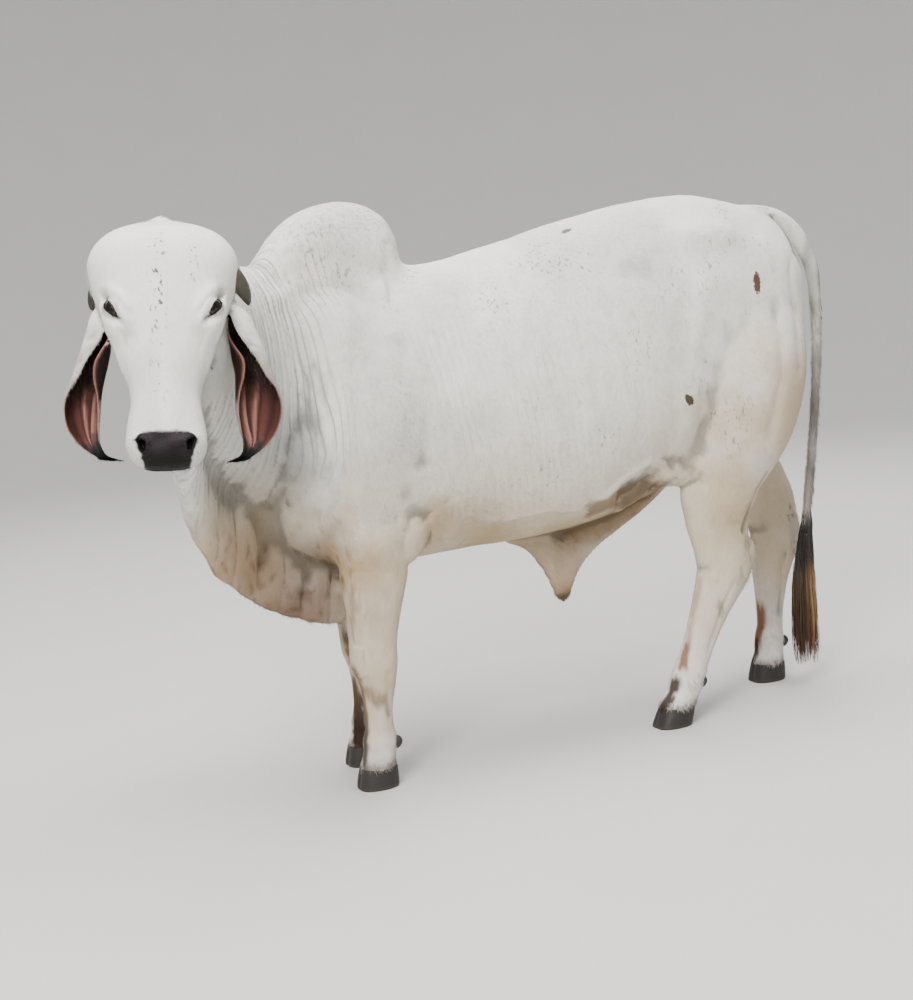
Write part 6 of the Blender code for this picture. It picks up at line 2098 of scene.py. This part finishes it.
def makeStudio():
    # Rings of the floor: flat to floorFlat, then up a quarter round to the rim
    v = studioValues
    radius = np.r_[np.linspace(0.02, v["floorFlat"], 12), np.linspace(v["floorFlat"], v["floorRim"], 25)[1:]]
    rise = np.clip((radius - v["floorFlat"]) / (v["floorRim"] - v["floorFlat"]), 0, 1)
    high = v["floorHigh"] * (1 - np.sqrt(1 - np.minimum(rise, 0.999) ** 2.2))
    turn = wholeTurn(96)
    grid = np.stack([radius[:, None] * np.cos(turn), radius[:, None] * np.sin(turn),
                     high[:, None] + 0 * turn], -1)
    quads = gridFaces(len(radius), 96)
    points = np.vstack([grid.reshape(-1, 3), [[0, 0, 0]]])
    middle = [(len(points) - 1, j, (j + 1) % 96) for j in range(96)]
    mesh = bpy.data.meshes.new("studioFloor")
    mesh.from_pydata(points.tolist(), [], quads[:, ::-1].tolist() + middle)
    mesh.polygons.foreach_set("use_smooth", np.ones(len(mesh.polygons), bool))
    floor = linked("studioFloor", mesh)
    m = Nodes("pale floor")
    grain = m.noise(m.objectPlace(), 3.0, 4, 0.6)
    low, high = linear(tuple(k - 5 for k in v["floorTone"])), linear(v["floorTone"])
    m.link(m.mixColour(grain, low, high), "Base Color")
    m.give({"Roughness": 0.9})
    mesh.materials.append(m.material)
    world = bpy.data.worlds.new("studio")
    world.use_nodes = True
    world.node_tree.nodes["Background"].inputs["Color"].default_value = (*v["worldTone"], 1)
    world.node_tree.nodes["Background"].inputs["Strength"].default_value = v["worldStrength"]
    scene.world = world
    for name, place, size, power, tone in studioLights:
        data = bpy.data.lights.new(name, "AREA")
        data.shape = "DISK"
        data.size = size
        data.energy = power
        data.color = tone
        light = linked(name, data)
        light.location = place
        light.rotation_mode = "QUATERNION"
        light.rotation_quaternion = (Vector((0, 0, 0.8)) - Vector(place)).to_track_quat("-Z", "Y")


def dressed(obj, material):
    # A piece's material, its body and its slot
    obj.data.materials.clear()
    obj.data.materials.append(material)
    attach(obj, "root")
    return obj


# The solids that the skin takes the place of, and how the solids of each leg are named
fleshNodes = ["head", "neck", "dewlap", "hump", "torso", "sheath", "scrotum", "ear_left", "ear_right",
              "tail_upper", "tail_middle", "tail_lower"] + [
    f"{leg}_{part}" for leg in ("foreleg_left", "foreleg_right", "hindleg_left", "hindleg_right")
    for part in ("upper", "lower")]
nodeNames = {"forelegLeft": "foreleg_left", "forelegRight": "foreleg_right",
             "hindlegLeft": "hindleg_left", "hindlegRight": "hindleg_right"}

# Camera and studio, the skin with its paint, the coat, then the hard parts
makeCamera()
makeStudio()
print("studio ready")
hide = hideMaterial()
skin = buildSkin()
ears = joinEars(skin)
setPoints(skin, drawnIn(getPoints(skin)))
points = getPoints(skin)
tone, gloss, leather = paint(points, ears)
# Painted shade: the tone is darkened by up to half where the skin lies deep in hollows and creases, less on
# bare leather and high at the front of the hump
high = ramp(-0.76, -0.66, points[:, 0]) * ramp(1.02, 1.12, points[:, 2])
tone = tone * (1 - 0.50 * ramp(0.0003, 0.0030, hollows(skin, points)) * (1 - leather)
               * (1 - 0.75 * high))[:, None]
numbers = offEars(points, ears, np.stack([gloss, leather, fleckShare(points), *pleats(points)], 1))
setTone(skin.data, np.clip(tone, 0, 1))
for word, values in zip(numberNames, numbers.T):
    setNumber(skin.data, word, values)
data = SkinData(skin, tone, numbers, ears)
print("skin painted", len(data.faces))
setPoints(skin, points + bodyShift)
skin.data.polygons.foreach_set("use_smooth", np.ones(len(skin.data.polygons), bool))
dressed(skin, hide)
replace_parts(skin, *fleshNodes)
for coat in growCoat(data) + [growFringe(data)]:
    dressed(coat, hide)
print("coat grown")
hair = tonedMaterial("tail hair", 0.52, 700, 0.0006, (1, 1, 0.15), 0.0, 0.4)
switch = dressed(tailSwitch(), hair)
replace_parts(switch, "tail_switch")
wet = eyeMaterial()
hornLook = tonedMaterial("worn horn", 0.50, 260, 0.0010, (1, 1, 1), 0.05)
hoofLook = tonedMaterial("worn hoof", 0.58, 320, 0.0010, (1, 1, 0.3))
for side, word in ((1, "left"), (-1, "right")):
    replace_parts(dressed(eyeBall("eye" + word.title(), side), wet), "eye_" + word)
    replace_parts(dressed(hornPiece("horn" + word.title(), side), hornLook), "horn_" + word)
for foot, node in nodeNames.items():
    claws = dressed(clawPair("claws" + foot[0].upper() + foot[1:], foot), hoofLook)
    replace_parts(claws, node + "_claw_near", node + "_claw_off")
    studs = dressed(dewclawPair("dewclaws" + foot[0].upper() + foot[1:], foot), hoofLook)
    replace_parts(studs, node + "_dewclaw_near", node + "_dewclaw_off")
print("eyes, horns and claws ready")
